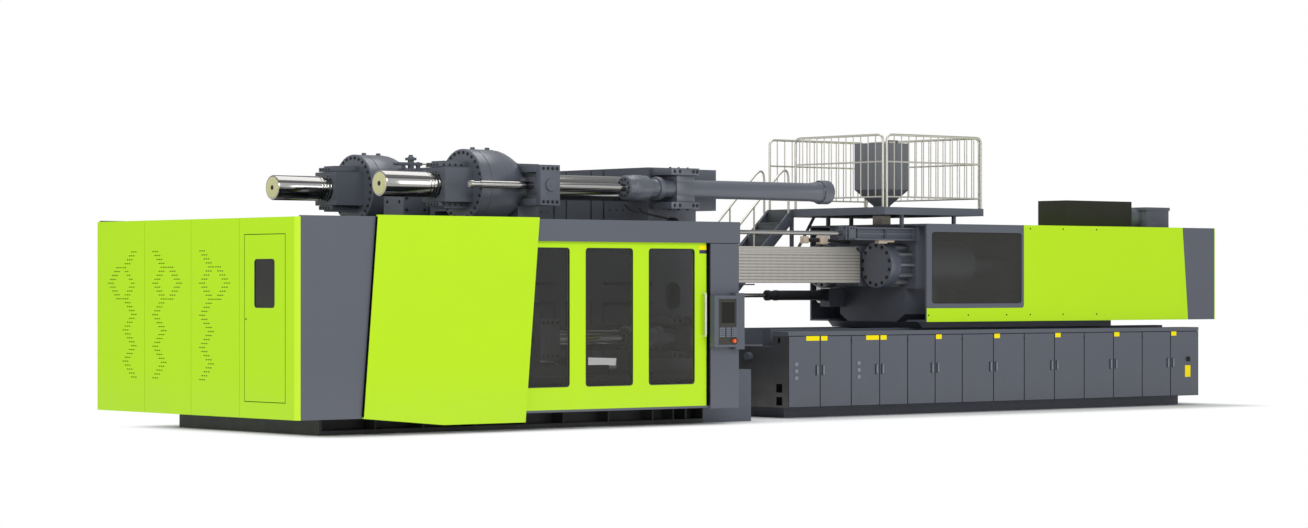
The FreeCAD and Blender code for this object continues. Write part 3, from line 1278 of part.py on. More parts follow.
def octagon(half, chamfer, z):
    h, c = half, chamfer
    points = [(h, -h + c), (h, h - c), (h - c, h), (-h + c, h), (-h, h - c), (-h, -h + c), (-h + c, -h), (h - c, -h)]
    return [V(HOPPER_X + x, y, z) for x, y in points]


def hopper_form(inset):
    """The outline of the hopper, its cone and its feed pipe, set in by a wall's thickness."""
    wide, pipe = HOPPER_W / 2 - inset, PIPE_W / 2 - inset
    chamfer = HOPPER_CHAMFER - inset * BEVEL_SHARE
    levels = [octagon(pipe, PIPE_CHAMFER, BLOCK_TOP), octagon(pipe, PIPE_CHAMFER, CONE_Z),
              octagon(wide, chamfer, HOPPER_Z0), octagon(wide, chamfer, HOPPER_Z1)]
    faces = [Part.Face(outline(levels[0])), Part.Face(outline(levels[-1]))]
    for low, high in zip(levels, levels[1:]):
        faces += between(low, high)
    return sewn(faces)


def hopper():
    seat = box(HOPPER_X - SEAT_W / 2, HOPPER_X + SEAT_W / 2, -SEAT_W / 2, SEAT_W / 2, DECK_Z1, DECK_Z1 + SEAT_T)
    inner = hopper_form(HOPPER_WALL)
    return cut(fused([hopper_form(0), seat]), [inner])


def hopper_lid():
    z = HOPPER_Z1 + DOOR_PLAY
    plate = Part.Face(outline(octagon(HOPPER_W / 2, HOPPER_CHAMFER, z))).extrude(V(0, 0, LID_T))
    width, depth, height = LID_GRIP
    y = -HOPPER_W / 2 + LID_GRIP_Y
    grip = box(HOPPER_X - width / 2, HOPPER_X + width / 2, y, y + depth, z + LID_T, z + LID_T + height)
    slot = box(HOPPER_X - width / 2 + LID_GRIP_BAR[0], HOPPER_X + width / 2 - LID_GRIP_BAR[0], y - 1, y + depth + 1,
               z + LID_T, z + LID_T + height - LID_GRIP_BAR[1])
    return fused([plate, cut(grip, [slot])])


save("injection_base", injection_base())
save("barrel", barrel())
save("barrel_cover", barrel_cover())
save("injection_cylinders", *injection_cylinders())
save("carriage_cylinders", *carriage_cylinders())
save("carriage_rods", *carriage_rods())
save("injection_guard", injection_guard())
save("guard_window", *guard_panes())
save("top_boxes", *top_boxes())
save("drive_head", *drive_head())
save("screw", screw())
save("platform", platform())
save("handrails", *handrails())
save("stairs", stairs())
save("hopper", hopper())
save("hopper_lid", hopper_lid())
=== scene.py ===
"""Looks of a two-platen injection moulding machine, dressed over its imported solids."""
import json
import logging
import math
from dataclasses import dataclass
from enum import Enum
from typing import Optional, Sequence

import bpy
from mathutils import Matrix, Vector

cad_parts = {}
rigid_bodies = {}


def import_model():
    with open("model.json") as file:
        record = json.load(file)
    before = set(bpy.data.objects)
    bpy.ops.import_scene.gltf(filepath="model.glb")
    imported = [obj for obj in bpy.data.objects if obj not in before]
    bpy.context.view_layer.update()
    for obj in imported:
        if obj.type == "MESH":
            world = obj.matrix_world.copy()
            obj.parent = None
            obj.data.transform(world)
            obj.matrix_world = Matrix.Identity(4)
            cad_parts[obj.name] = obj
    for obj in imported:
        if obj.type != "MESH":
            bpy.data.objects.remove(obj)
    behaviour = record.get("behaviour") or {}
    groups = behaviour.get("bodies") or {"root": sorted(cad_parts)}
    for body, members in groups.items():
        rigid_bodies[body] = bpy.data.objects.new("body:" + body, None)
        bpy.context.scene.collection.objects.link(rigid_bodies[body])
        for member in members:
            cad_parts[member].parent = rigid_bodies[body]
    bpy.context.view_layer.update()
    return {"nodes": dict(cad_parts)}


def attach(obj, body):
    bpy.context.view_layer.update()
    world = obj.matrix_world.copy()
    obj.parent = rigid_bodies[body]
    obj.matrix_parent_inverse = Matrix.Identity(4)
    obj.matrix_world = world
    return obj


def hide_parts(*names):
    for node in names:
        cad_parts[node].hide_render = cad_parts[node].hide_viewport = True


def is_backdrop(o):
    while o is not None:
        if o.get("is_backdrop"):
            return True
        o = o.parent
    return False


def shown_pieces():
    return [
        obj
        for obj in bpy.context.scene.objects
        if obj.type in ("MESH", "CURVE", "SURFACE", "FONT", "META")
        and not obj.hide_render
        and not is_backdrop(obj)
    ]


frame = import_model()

LOG = logging.getLogger("scene")

Point = Sequence[float]
Pair = tuple[float, float]
Triple = tuple[float, float, float]
SIDES = (-1, 1)
AXIS_Z = 2.331  # height of the machine's long axis
TIE_Y, TIE_Z = 1.322, 1.077  # tie bars, beside and above that axis
OPEN_Y = 1.886  # opening cylinders, beside it
CORNERS = [(sy * TIE_Y, AXIS_Z + sz * TIE_Z) for sy in SIDES for sz in SIDES]
EASE_ANGLE = 40.0  # edges that turn by more than this are eased
SMOOTH_ANGLE = 35.0  # edges that turn by more than this stay sharp
DUST, DUST_GAIN = (176, 172, 162), 4  # its colour, and how strongly a finish's dust covers
HOLE_COLOUR = (104, 101, 95)  # what shows through the small holes of a cover


# ------------------------------------------------------------------ finishes
class Grain(Enum):
    """Fine relief of a finish."""

    PEEL = "orange peel of sprayed paint"
    CAST = "cast skin under paint"
    TURNED = "rings of a lathe about X"
    BRUSHED = "straight brushing along X"
    POLISHED = "faint grinding marks about X"
    HOLES = "round holes in rows"
    NONE = "none"


@dataclass(frozen=True)
class Finish:
    """How a surface looks.

    Args:
        name: material name.
        colour: sRGB colour, 0 to 255.
        roughness: base roughness.
        metallic: from 0, paint, to 1, bare metal.
        coat: weight of a clear coat.
        grain: fine relief.
        tone: how far the colour drifts.
        dust: how much pale dust gathers low down.
        shine: level of the mirror-like part of the light.
        painted_reflection: how dark the painted reflection bands on a polished round bar are, from its
            underside up.
        alpha: how much of what lies behind is covered.
        split: X beyond which the colour is the guard's grey, or 0 for none.
    """

    name: str
    colour: tuple[int, int, int]
    roughness: float = 0.5
    metallic: float = 0.0
    coat: float = 0.0
    grain: Grain = Grain.PEEL
    tone: float = 0.02
    dust: float = 0.0
    shine: float = 0.5
    painted_reflection: float = 0.0
    alpha: float = 1.0
    split: float = 0.0


FINISHES = {
    f.name: f
    for f in (
        Finish("green_front", (188, 234, 14), tone=0.03, dust=0.03, shine=0.25),
        # A darker copy of the same green paint for the end wall and its door: painted shade of the end face.
        Finish("green_end", (176, 224, 0), tone=0.03, dust=0.03, shine=0.25),
        # A lighter copy of the end wall's green: painted highlight of the folded corner strip.
        Finish("bright_edge", (196, 234, 40), shine=0.25),
        Finish("grey", (89, 93, 103), tone=0.05, dust=0.02, shine=0.4),
        Finish("grey_cast", (92, 96, 105), 0.54, grain=Grain.CAST, tone=0.1, dust=0.1, shine=0.4),
        Finish("grey_pale", (112, 115, 120), tone=0.05, dust=0.1, shine=0.4),
        Finish("satin", (86, 90, 100), 0.3, tone=0.05, dust=0.1, shine=0.75),
        # A darker grey for the cabinets' end face: painted shade, as that face lies in shade.
        Finish("end_face", (72, 73, 75), 0.55, tone=0.05, dust=0.1, shine=0.2),
        Finish("tread", (84, 88, 90), 0.55, tone=0.06, dust=0.1, shine=0.3),
        Finish("dark", (44, 46, 49), 0.52, tone=0.06, dust=0.03, shine=0.35),
        Finish("bed", (44, 46, 49), 0.52, tone=0.06, dust=0.03, shine=0.35, split=0.94),
        Finish("chrome", (228, 226, 222), 0.12, 1.0, grain=Grain.POLISHED, tone=0.01, painted_reflection=0.96),
        Finish("cream", (228, 224, 170), 0.4, 0.3, grain=Grain.TURNED, tone=0.05),
        Finish("steel", (160, 160, 158), 0.34, 1.0, grain=Grain.BRUSHED, tone=0.08),
        Finish("ground", (120, 122, 124), 0.4, 1.0, grain=Grain.CAST, tone=0.12),
        Finish("bolt", (70, 73, 80), 0.36, 0.8, grain=Grain.CAST, tone=0.12),
        # Much paler than the pipe's own bare metal: painted light, brightening it in the shade under the
        # deck.
        Finish("bare", (250, 238, 222), 0.45, 0.2, grain=Grain.BRUSHED, tone=0.08),
        Finish("tube", (205, 202, 190), 0.3, 0.75, grain=Grain.BRUSHED, tone=0.04),
        Finish("cover", (200, 196, 187), 0.42, 0.35, grain=Grain.HOLES, tone=0.04),
        # The clamp guard windows' dark colour and cover are partly the glass's own tint and partly painted
        # shade, keeping the lit inside as dark as an unlit one.
        Finish("tinted", (60, 59, 56), 0.06, grain=Grain.NONE, tone=0.03, shine=0.3, alpha=0.38),
        Finish("smoked", (54, 53, 49), 0.1, grain=Grain.NONE, tone=0.03, shine=0.2, alpha=0.85),
        Finish("pane", (76, 75, 72), 0.05, grain=Grain.NONE, shine=0.3, alpha=0.38),
        Finish("screen", (30, 30, 28), 0.2, grain=Grain.NONE, tone=0.1, shine=0.2),
        Finish("panel", (58, 57, 51), tone=0.05, shine=0.3),
        Finish("keys", (112, 120, 134), tone=0.05),
        Finish("handle", (222, 214, 214), 0.3, 0.4),
        Finish("black", (47, 46, 42), 0.6, tone=0.06, dust=0.1, shine=0.2),
        Finish("rubber", (28, 28, 29), 0.62, grain=Grain.CAST, tone=0.1, dust=0.1),
        Finish("pale", (226, 227, 228), tone=0.03),
        Finish("beige", (206, 190, 170), 0.45, tone=0.05),
        Finish("yellow", (255, 234, 0), shine=0.15),
        Finish("red", (240, 92, 10), 0.32, coat=0.3),
        Finish("navy", (44, 38, 78)),
        Finish("meter", (128, 134, 146), 0.4, coat=0.2),
        Finish("slot", (66, 88, 12), 0.7, shine=0.1),
        Finish("seam", (46, 48, 54), 0.6, shine=0.2),
        Finish("hole", (10, 10, 11), 0.9, grain=Grain.NONE, shine=0.05),
    )
}


def linear(colour: Sequence[int]) -> tuple[float, ...]:
    """Turn an sRGB colour into a scene-linear one.

    Args:
        colour: channels from 0 to 255.

    Returns:
        Linear RGBA.
    """
    parts = [c / 255 for c in colour]
    return (*(c / 12.92 if c <= 0.04045 else ((c + 0.055) / 1.055) ** 2.4 for c in parts), 1.0)


class Tree:
    """Short calls for building a node tree."""

    def __init__(self, tree: bpy.types.NodeTree) -> None:
        """Keep the tree to build in."""
        self.tree = tree

    def node(self, kind: str, **settings: object) -> bpy.types.Node:
        """Add a node.

        Args:
            kind: node type.
            settings: attributes to set.

        Returns:
            The node.
        """
        made = self.tree.nodes.new(kind)
        for key, value in settings.items():
            setattr(made, key, value)
        return made

    def feed(self, node: bpy.types.Node, **sockets: object) -> bpy.types.Node:
        """Set or link a node's inputs by name, with _ for a space, or by number, as in i0.

        Args:
            node: the node.
            sockets: values or output sockets.

        Returns:
            The same node.
        """
        for key, value in sockets.items():
            number = key[1:] if key[0] == "i" else ""
            socket = node.inputs[int(number) if number.isdigit() else key.replace("_", " ")]
            if isinstance(value, bpy.types.NodeSocket):
                self.tree.links.new(value, socket)
            else:
                socket.default_value = value
        return node

    def math(self, operation: str, a: object, b: object = 0.0, clamp: bool = False) -> bpy.types.NodeSocket:
        """Add a maths node.

        Args:
            operation: its operation.
            a: first value or socket.
            b: second value or socket.
            clamp: keep the result in 0 to 1.

        Returns:
            Its output.
        """
        made = self.node("ShaderNodeMath", operation=operation, use_clamp=clamp)
        return self.feed(made, i0=a, i1=b).outputs[0]

    def mix(self, mask: object, under: object, over: object) -> bpy.types.NodeSocket:
        """Add a node that lays one colour over another.

        Args:
            mask: where it lies.
            under: the colour below.
            over: the colour laid over it.

        Returns:
            Its output.
        """
        made = self.node("ShaderNodeMix", data_type="RGBA")
        return self.feed(made, i0=mask, i6=under, i7=over).outputs[2]

    def effect(self, tree: bpy.types.NodeTree, **sockets: object) -> bpy.types.Node:
        """Add a node that holds a shader group, with its inputs."""
        return self.feed(self.node("ShaderNodeGroup", node_tree=tree), **sockets)

    def noise(self, place: object, scale: object, detail: float) -> bpy.types.NodeSocket:
        """Add a noise over a place, and return its value."""
        return self.feed(self.node("ShaderNodeTexNoise"), Vector=place, Scale=scale, Detail=detail).outputs[0]

    def place(self) -> bpy.types.NodeSocket:
        """Add a node that gives the object's own coordinates."""
        return self.node("ShaderNodeTexCoord").outputs["Object"]

    def parts(self, vector: object) -> bpy.types.bpy_prop_collection:
        """Add a node that splits a vector, and return its X, Y and Z."""
        return self.feed(self.node("ShaderNodeSeparateXYZ"), Vector=vector).outputs


def group(name: str, inputs: dict[str, float],
          outputs: Sequence[str]) -> tuple[bpy.types.NodeTree, Tree, bpy.types.Node, bpy.types.Node]:
    """Start a shader node group.

    Args:
        name: group name.
        inputs: its inputs and their defaults.
        outputs: its outputs. Normal is a vector, and any other is a value.

    Returns:
        The group, its Tree, its input node and its output node.
    """
    made = bpy.data.node_groups.new(name, "ShaderNodeTree")
    for label, default in inputs.items():
        socket = made.interface.new_socket(label, in_out="INPUT", socket_type="NodeSocketFloat")
        socket.default_value = default
    for label in outputs:
        kind = "NodeSocketVector" if label == "Normal" else "NodeSocketFloat"
        made.interface.new_socket(label, in_out="OUTPUT", socket_type=kind)
    tree = Tree(made)
    return made, tree, tree.node("NodeGroupInput"), tree.node("NodeGroupOutput")


class Effects:
    """Node groups that the finishes share."""

    def __init__(self) -> None:
        """Build each group once."""
        self.drift = self._drift()
        self.dust = self._dust()
        self.relief = {
            Grain.PEEL: self._noise_relief("orange_peel", 140.0, 0.10, (1, 1, 1)),
            Grain.CAST: self._noise_relief("cast_skin", 46.0, 0.22, (1, 1, 1)),
            Grain.TURNED: self._noise_relief("lathe_rings", 60.0, 0.05, (14, 0.6, 0.6)),
            Grain.BRUSHED: self._noise_relief("brushing", 50.0, 0.06, (0.4, 18, 18)),
            Grain.POLISHED: self._noise_relief("grinding", 60.0, 0.012, (14, 0.6, 0.6)),
        }
        self.holes = self._holes()
        self.under = self._painted_reflection()

    @staticmethod
    def _drift() -> bpy.types.NodeTree:
        """A slow and a fine drift of the tone, about 1."""
        made, t, start, end = group("tone_drift", {"Amount": 0.1, "Scale": 1.2}, ["Value"])
        place = t.place()
        broad = t.math("MULTIPLY", t.noise(place, start.outputs["Scale"], 4.0), 0.7)
        fine = t.math("MULTIPLY", t.noise(place, 23.0, 3.0), 0.3)
        swing = t.math("SUBTRACT", t.math("ADD", broad, fine), 0.5)
        swing = t.math("MULTIPLY", t.math("MULTIPLY", swing, start.outputs["Amount"]), 2.0)
        t.feed(end, Value=t.math("ADD", swing, 1.0))
        return made

    @staticmethod
    def _dust() -> bpy.types.NodeTree:
        """Cloudy dust that thins out up to a height."""
        made, t, start, end = group("low_dust", {"Amount": 0.1, "Height": 0.9}, ["Mask"])
        place = t.place()
        share = t.math("DIVIDE", t.parts(place)[2], start.outputs["Height"])
        low = t.math("SUBTRACT", 1.0, share, clamp=True)
        cloud = t.math("MULTIPLY", low, t.noise(place, 3.5, 6.0))
        t.feed(end, Mask=t.math("MULTIPLY", cloud, start.outputs["Amount"]))
        return made

    @staticmethod
    def _noise_relief(name: str, scale: float, strength: float, stretch: Point) -> bpy.types.NodeTree:
        """A relief of stretched noise.

        Args:
            name: group name.
            scale: how fine the noise is.
            strength: how strong the bumps are.
            stretch: how much finer it is along X, Y and Z.

        Returns:
            The group.
        """
        made, t, start, end = group(name, {"Strength": strength, "Scale": scale}, ["Normal", "Value"])
        pulled = t.feed(t.node("ShaderNodeVectorMath", operation="MULTIPLY"), i0=t.place(), i1=stretch)
        height = t.noise(pulled.outputs[0], start.outputs["Scale"], 2.0)
        bump = t.feed(t.node("ShaderNodeBump"), Strength=start.outputs["Strength"], Distance=0.002,
                      Height=height)
        t.feed(end, Normal=bump.outputs[0], Value=height)
        return made

    @staticmethod
    def _painted_reflection() -> bpy.types.NodeTree:
        """Painted reflection: the bands that a polished bar would mirror, from its underside up, painted by
        the height of its normal.
        """
        made, t, start, end = group("under_band", {"Amount": 0.5}, ["Value"])
        up = t.parts(t.node("ShaderNodeNewGeometry").outputs["Normal"])[2]
        ramp = t.node("ShaderNodeValToRGB")
        stops = ((0.0, 0.55), (0.44, 0.55), (0.475, 0.72), (0.5, 0.0), (0.66, 0.0), (0.7, 0.8), (0.75, 0.66),
                 (1.0, 0.64))
        while len(ramp.color_ramp.elements) < len(stops):
            ramp.color_ramp.elements.new(0.5)
        for element, (at, level) in zip(ramp.color_ramp.elements, stops):
            element.position, element.color = at, (level, level, level, 1.0)
        t.feed(ramp, Fac=t.math("ADD", t.math("MULTIPLY", up, 0.5), 0.5))
        dark = t.math("MULTIPLY", ramp.outputs[0], start.outputs["Amount"])
        t.feed(end, Value=t.math("SUBTRACT", 1.0, dark))
        return made

    @staticmethod
    def _holes() -> bpy.types.NodeTree:
        """Round holes in rows along X, wound over the sides."""
        made, t, start, end = group("hole_rows", {"Step": 0.024, "Row": 0.048, "Radius": 0.27}, ["Mask"])
        x, y, z = t.parts(t.place())
        squares = []
        for axis, pitch in ((x, "Step"), (t.math("ADD", z, y), "Row")):
            cell = t.math("FRACT", t.math("DIVIDE", axis, start.outputs[pitch]))
            off = t.math("SUBTRACT", cell, 0.5)
            squares.append(t.math("MULTIPLY", off, off))
        far = t.math("SQRT", t.math("ADD", *squares))
        t.feed(end, Mask=t.math("LESS_THAN", far, start.outputs["Radius"]))
        return made


class Paints:
    """Builds each finish's material once."""

    def __init__(self) -> None:
        """Build the shared groups, and no material yet."""
        self.effects = Effects()
        self.made: dict[str, bpy.types.Material] = {}

    def use(self, name: str) -> bpy.types.Material:
        """Give the material of a finish.

        Args:
            name: finish name.

        Returns:
            The material.
        """
        if name not in self.made:
            self.made[name] = self._build(FINISHES[name])
        return self.made[name]

    def _build(self, finish: Finish) -> bpy.types.Material:
        """Build the material of a finish.

        Args:
            finish: how it looks.

        Returns:
            The material.
        """
        material = bpy.data.materials.new(finish.name)
        material.use_nodes = True
        t = Tree(material.node_tree)
        shader = material.node_tree.nodes["Principled BSDF"]
        t.feed(shader, Metallic=finish.metallic, Coat_Weight=finish.coat, Coat_Roughness=0.2,
               Specular_IOR_Level=finish.shine, Alpha=finish.alpha)
        drift = t.effect(self.effects.drift, Amount=finish.tone).outputs[0]
        value = drift
        # Painted reflection: polished bars are darkened in bands by the height of their normal, as if
        # mirroring darker things below.
        if finish.painted_reflection:
            under = t.effect(self.effects.under, Amount=finish.painted_reflection).outputs[0]
            value = t.math("MULTIPLY", drift, under)
        tint = t.feed(t.node("ShaderNodeHueSaturation"), Value=value, Color=linear(finish.colour))
        colour = tint.outputs[0]
        if finish.dust:
            mask = t.effect(self.effects.dust, Amount=finish.dust * DUST_GAIN).outputs[0]
            colour = t.mix(mask, colour, linear(DUST))
        if finish.split:
            past = t.math("GREATER_THAN", t.parts(t.place())[0], finish.split)
            colour = t.mix(past, colour, linear(FINISHES["grey"].colour))
        rough = t.math("MULTIPLY", drift, finish.roughness)
        if finish.grain is Grain.HOLES:
            mask = t.effect(self.effects.holes).outputs[0]
            colour = t.mix(mask, colour, linear(HOLE_COLOUR))
            bump = t.feed(t.node("ShaderNodeBump", invert=True), Strength=0.3, Distance=0.003, Height=mask)
            t.feed(shader, Normal=bump.outputs[0])
        elif finish.grain in self.effects.relief:
            relief = t.effect(self.effects.relief[finish.grain]).outputs
            t.feed(shader, Normal=relief["Normal"])
            rough = t.math("MULTIPLY", rough, t.math("ADD", t.math("MULTIPLY", relief["Value"], 0.5), 0.75))
        t.feed(shader, Base_Color=colour, Roughness=rough)
        return material


PAINTS = Paints()


# ------------------------------------------------------------------ meshes
def signed_volume(verts: Sequence[Vector], faces: Sequence[Sequence[int]]) -> float:
    """Volume of a closed mesh, negative if its faces look inward.

    Args:
        verts: corners.
        faces: corner numbers of each face.

    Returns:
        Six times the volume.
    """
    return sum(verts[face[0]].dot(verts[face[i]].cross(verts[face[i + 1]]))
               for face in faces for i in range(1, len(face) - 1))


def plug(x0: float, x1: float, r: float) -> list[Pair]:
    """Profile of a plain cylinder, as (along, radius) pairs."""
    return [(x0, 0.0), (x0, r), (x1, r), (x1, 0.0)]


class Body:
    """Gathers closed shapes into one mesh."""

    def __init__(self) -> None:
        """Start empty."""
        self.verts: list[Vector] = []
        self.faces: list[list[int]] = []

    def add(self, verts: Sequence[Vector], faces: Sequence[Sequence[int]]) -> "Body":
        """Add a closed shape, turned outward.

        Args:
            verts: corners.
            faces: corner numbers.

        Returns:
            This body.
        """
        flip = signed_volume(verts, faces) < 0
        base = len(self.verts)
        self.verts += verts
        self.faces += [[base + i for i in (reversed(face) if flip else face)] for face in faces]
        return self

    def box(self, one: Point, other: Point) -> "Body":
        """Add a box.

        Args:
            one: a corner.
            other: the corner opposite it.

        Returns:
            This body.
        """
        xs, ys, zs = (sorted(pair) for pair in zip(one, other))
        verts = [Vector((x, y, z)) for x in xs for y in ys for z in zs]
        faces = [(0, 1, 3, 2), (4, 6, 7, 5), (0, 4, 5, 1), (2, 3, 7, 6), (0, 2, 6, 4), (1, 5, 7, 3)]
        return self.add(verts, faces)

    def prism(self, outline: Sequence[Point], push: Point) -> "Body":
        """Extrude an outline.

        Args:
            outline: its points.
            push: how far and which way.

        Returns:
            This body.
        """
        n = len(outline)
        low = [Vector(p) for p in outline]
        faces: list[Sequence[int]] = [list(range(n)), [n + i for i in reversed(range(n))]]
        faces += [(i, i + n, (i + 1) % n + n, (i + 1) % n) for i in range(n)]
        return self.add(low + [p + Vector(push) for p in low], faces)

    def turned(self, profile: Sequence[Pair], origin: Point, axis: str = "X", sides: int = 64) -> "Body":
        """Turn an outline about an axis.

        Args:
            profile: (along, radius) pairs. It closes on itself where neither end has a radius of 0.
            origin: a point that the axis passes through.
            axis: X, Y or Z.
            sides: corners of each ring.

        Returns:
            This body.
        """
        order = {"X": (0, 1, 2), "Y": (1, 2, 0), "Z": (2, 0, 1)}[axis]
        verts: list[Vector] = []
        rings: list[list[int]] = []
        for along, r in profile:
            start = len(verts)
            for i in range(sides if r > 0 else 1):
                t = math.tau * i / sides
                p = Vector(origin)
                for k, step in zip(order, (along, r * math.cos(t), r * math.sin(t))):
                    p[k] += step
                verts.append(p)
            rings.append(list(range(start, len(verts))))
        faces: list[Sequence[int]] = []
        closed = profile[0][1] > 0 and profile[-1][1] > 0
        pairs = list(zip(rings, rings[1:])) + ([(rings[-1], rings[0])] if closed else [])
        for a, b in pairs:
            for i in range(sides):
                k = (i + 1) % sides
                face = dict.fromkeys((a[i % len(a)], a[k % len(a)], b[k % len(b)], b[i % len(b)]))
                if len(face) > 2:
                    faces.append(tuple(face))
        return self.add(verts, faces)

    def tube(self, path: Sequence[Point], r: float, sides: int = 10, ease: float = 0.0) -> "Body":
        """Add a round tube.

        Args:
            path: the points that it passes through.
            r: its radius.
            sides: corners of each ring.
            ease: how far from a bend its rounding starts.

        Returns:
            This body.
        """
        nodes = [Vector(p) for p in path]
        line = [nodes[0]]
        for before, at, after in zip(nodes, nodes[1:], nodes[2:]):
            if ease <= 0:
                line.append(at)
                continue
            p0 = at + (before - at).normalized() * ease
            p1 = at + (after - at).normalized() * ease
            for k in range(7):
                s = k / 6
                line.append(p0 * (1 - s) ** 2 + at * 2 * s * (1 - s) + p1 * s * s)
        line.append(nodes[-1])
        along = (line[1] - line[0]).normalized()
        side = along.cross(Vector((0, 0, 1)) if abs(along.z) < 0.9 else Vector((1, 0, 0))).normalized()
        verts: list[Vector] = []
        for i, p in enumerate(line):
            back = (p - line[i - 1]).normalized() if i else along
            ahead = (line[i + 1] - p).normalized() if i < len(line) - 1 else back
            direction = (back + ahead).normalized()
            side = (side - direction * side.dot(direction)).normalized()
            up = direction.cross(side)
            for k in range(sides):
                t = math.tau * k / sides
                verts.append(p + side * (r * math.cos(t)) + up * (r * math.sin(t)))
        faces: list[Sequence[int]] = [list(range(sides)), [len(verts) - 1 - k for k in range(sides)]]
        for i in range(0, (len(line) - 1) * sides, sides):
            for k in range(sides):
                m = (k + 1) % sides
                faces.append((i + k, i + sides + k, i + sides + m, i + m))
        return self.add(verts, faces)

    def ring(self, outer: Sequence[Point], inner: Sequence[Point], push: Point) -> "Body":
        """Add a ring between two outlines that have as many points.

        Args:
            outer: the outer outline.
            inner: the inner one.
            push: its thickness and the way that it is pushed.

        Returns:
            This body.
        """
        n = len(outer)
        flat = [Vector(p) for p in (*outer, *inner)]
        faces: list[Sequence[int]] = []
        for i in range(n):
            k = (i + 1) % n
            faces += [(i, k, n + k, n + i), (2 * n + i, 3 * n + i, 3 * n + k, 2 * n + k),
                      (i, 2 * n + i, 2 * n + k, k), (n + i, n + k, 3 * n + k, 3 * n + i)]
        return self.add(flat + [p + Vector(push) for p in flat], faces)

    def mesh(self, name: str) -> bpy.types.Mesh:
        """Turn the gathered shapes into a mesh."""
        mesh = bpy.data.meshes.new(name)
        mesh.from_pydata(self.verts, [], self.faces)
        return mesh

    def make(self, name: str, finish: str, body: str, bevel: float = 0.0,
             replaces: Sequence[str] = (), slot: Optional[str] = None) -> bpy.types.Object:
        """Turn the gathered shapes into an object that rides on a body.

        Args:
            name: object name.
            finish: finish name.
            body: the body it rides on.
            bevel: width of eased edges.
            replaces: nodes it stands for.
            slot: material slot of the record; not used.

        Returns:
            The object.
        """
        mesh = self.mesh(name)
        mesh.materials.append(PAINTS.use(finish))
        made = link(name, mesh)
        if bevel:
            ease = made.modifiers.new("ease", "BEVEL")
            ease.width, ease.segments, ease.limit_method = bevel, 2, "ANGLE"
            ease.angle_limit = math.radians(EASE_ANGLE)
            settle(made)
        smooth(made.data)
        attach(made, body)
        if replaces:
            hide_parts(*replaces)
        return made


def link(name: str, data: object) -> bpy.types.Object:
    """Make an object and put it in the scene.

    Args:
        name: object name.
        data: its mesh, lamp or camera.

    Returns:
        The object.
    """
    made = bpy.data.objects.new(name, data)
    bpy.context.scene.collection.objects.link(made)
    return made


def smooth(mesh: bpy.types.Mesh) -> None:
    """Shade a mesh smooth, but for its sharp edges."""
    mesh.shade_smooth()
    mesh.set_sharp_from_angle(angle=math.radians(SMOOTH_ANGLE))


def settle(made: bpy.types.Object) -> None:
    """Turn an object's modifiers into plain mesh.

    Args:
        made: the object.
    """
    seen = made.evaluated_get(bpy.context.evaluated_depsgraph_get())
    mesh = bpy.data.meshes.new_from_object(seen)
    made.modifiers.clear()
    made.data = mesh


# ------------------------------------------------------------------ repeats
@dataclass(frozen=True)
class Spot:
    """Where one repeat goes.

    Args:
        at: place.
        facing: direction that its +Z points.
        size: scale on its own axes.
        along: direction that its +X points.
    """

    at: Triple
    facing: Triple = (0.0, 0.0, 1.0)
    size: Triple = (1.0, 1.0, 1.0)
    along: Triple = (1.0, 0.0, 0.0)


SPOT_VALUES = ("facing", "size", "along")


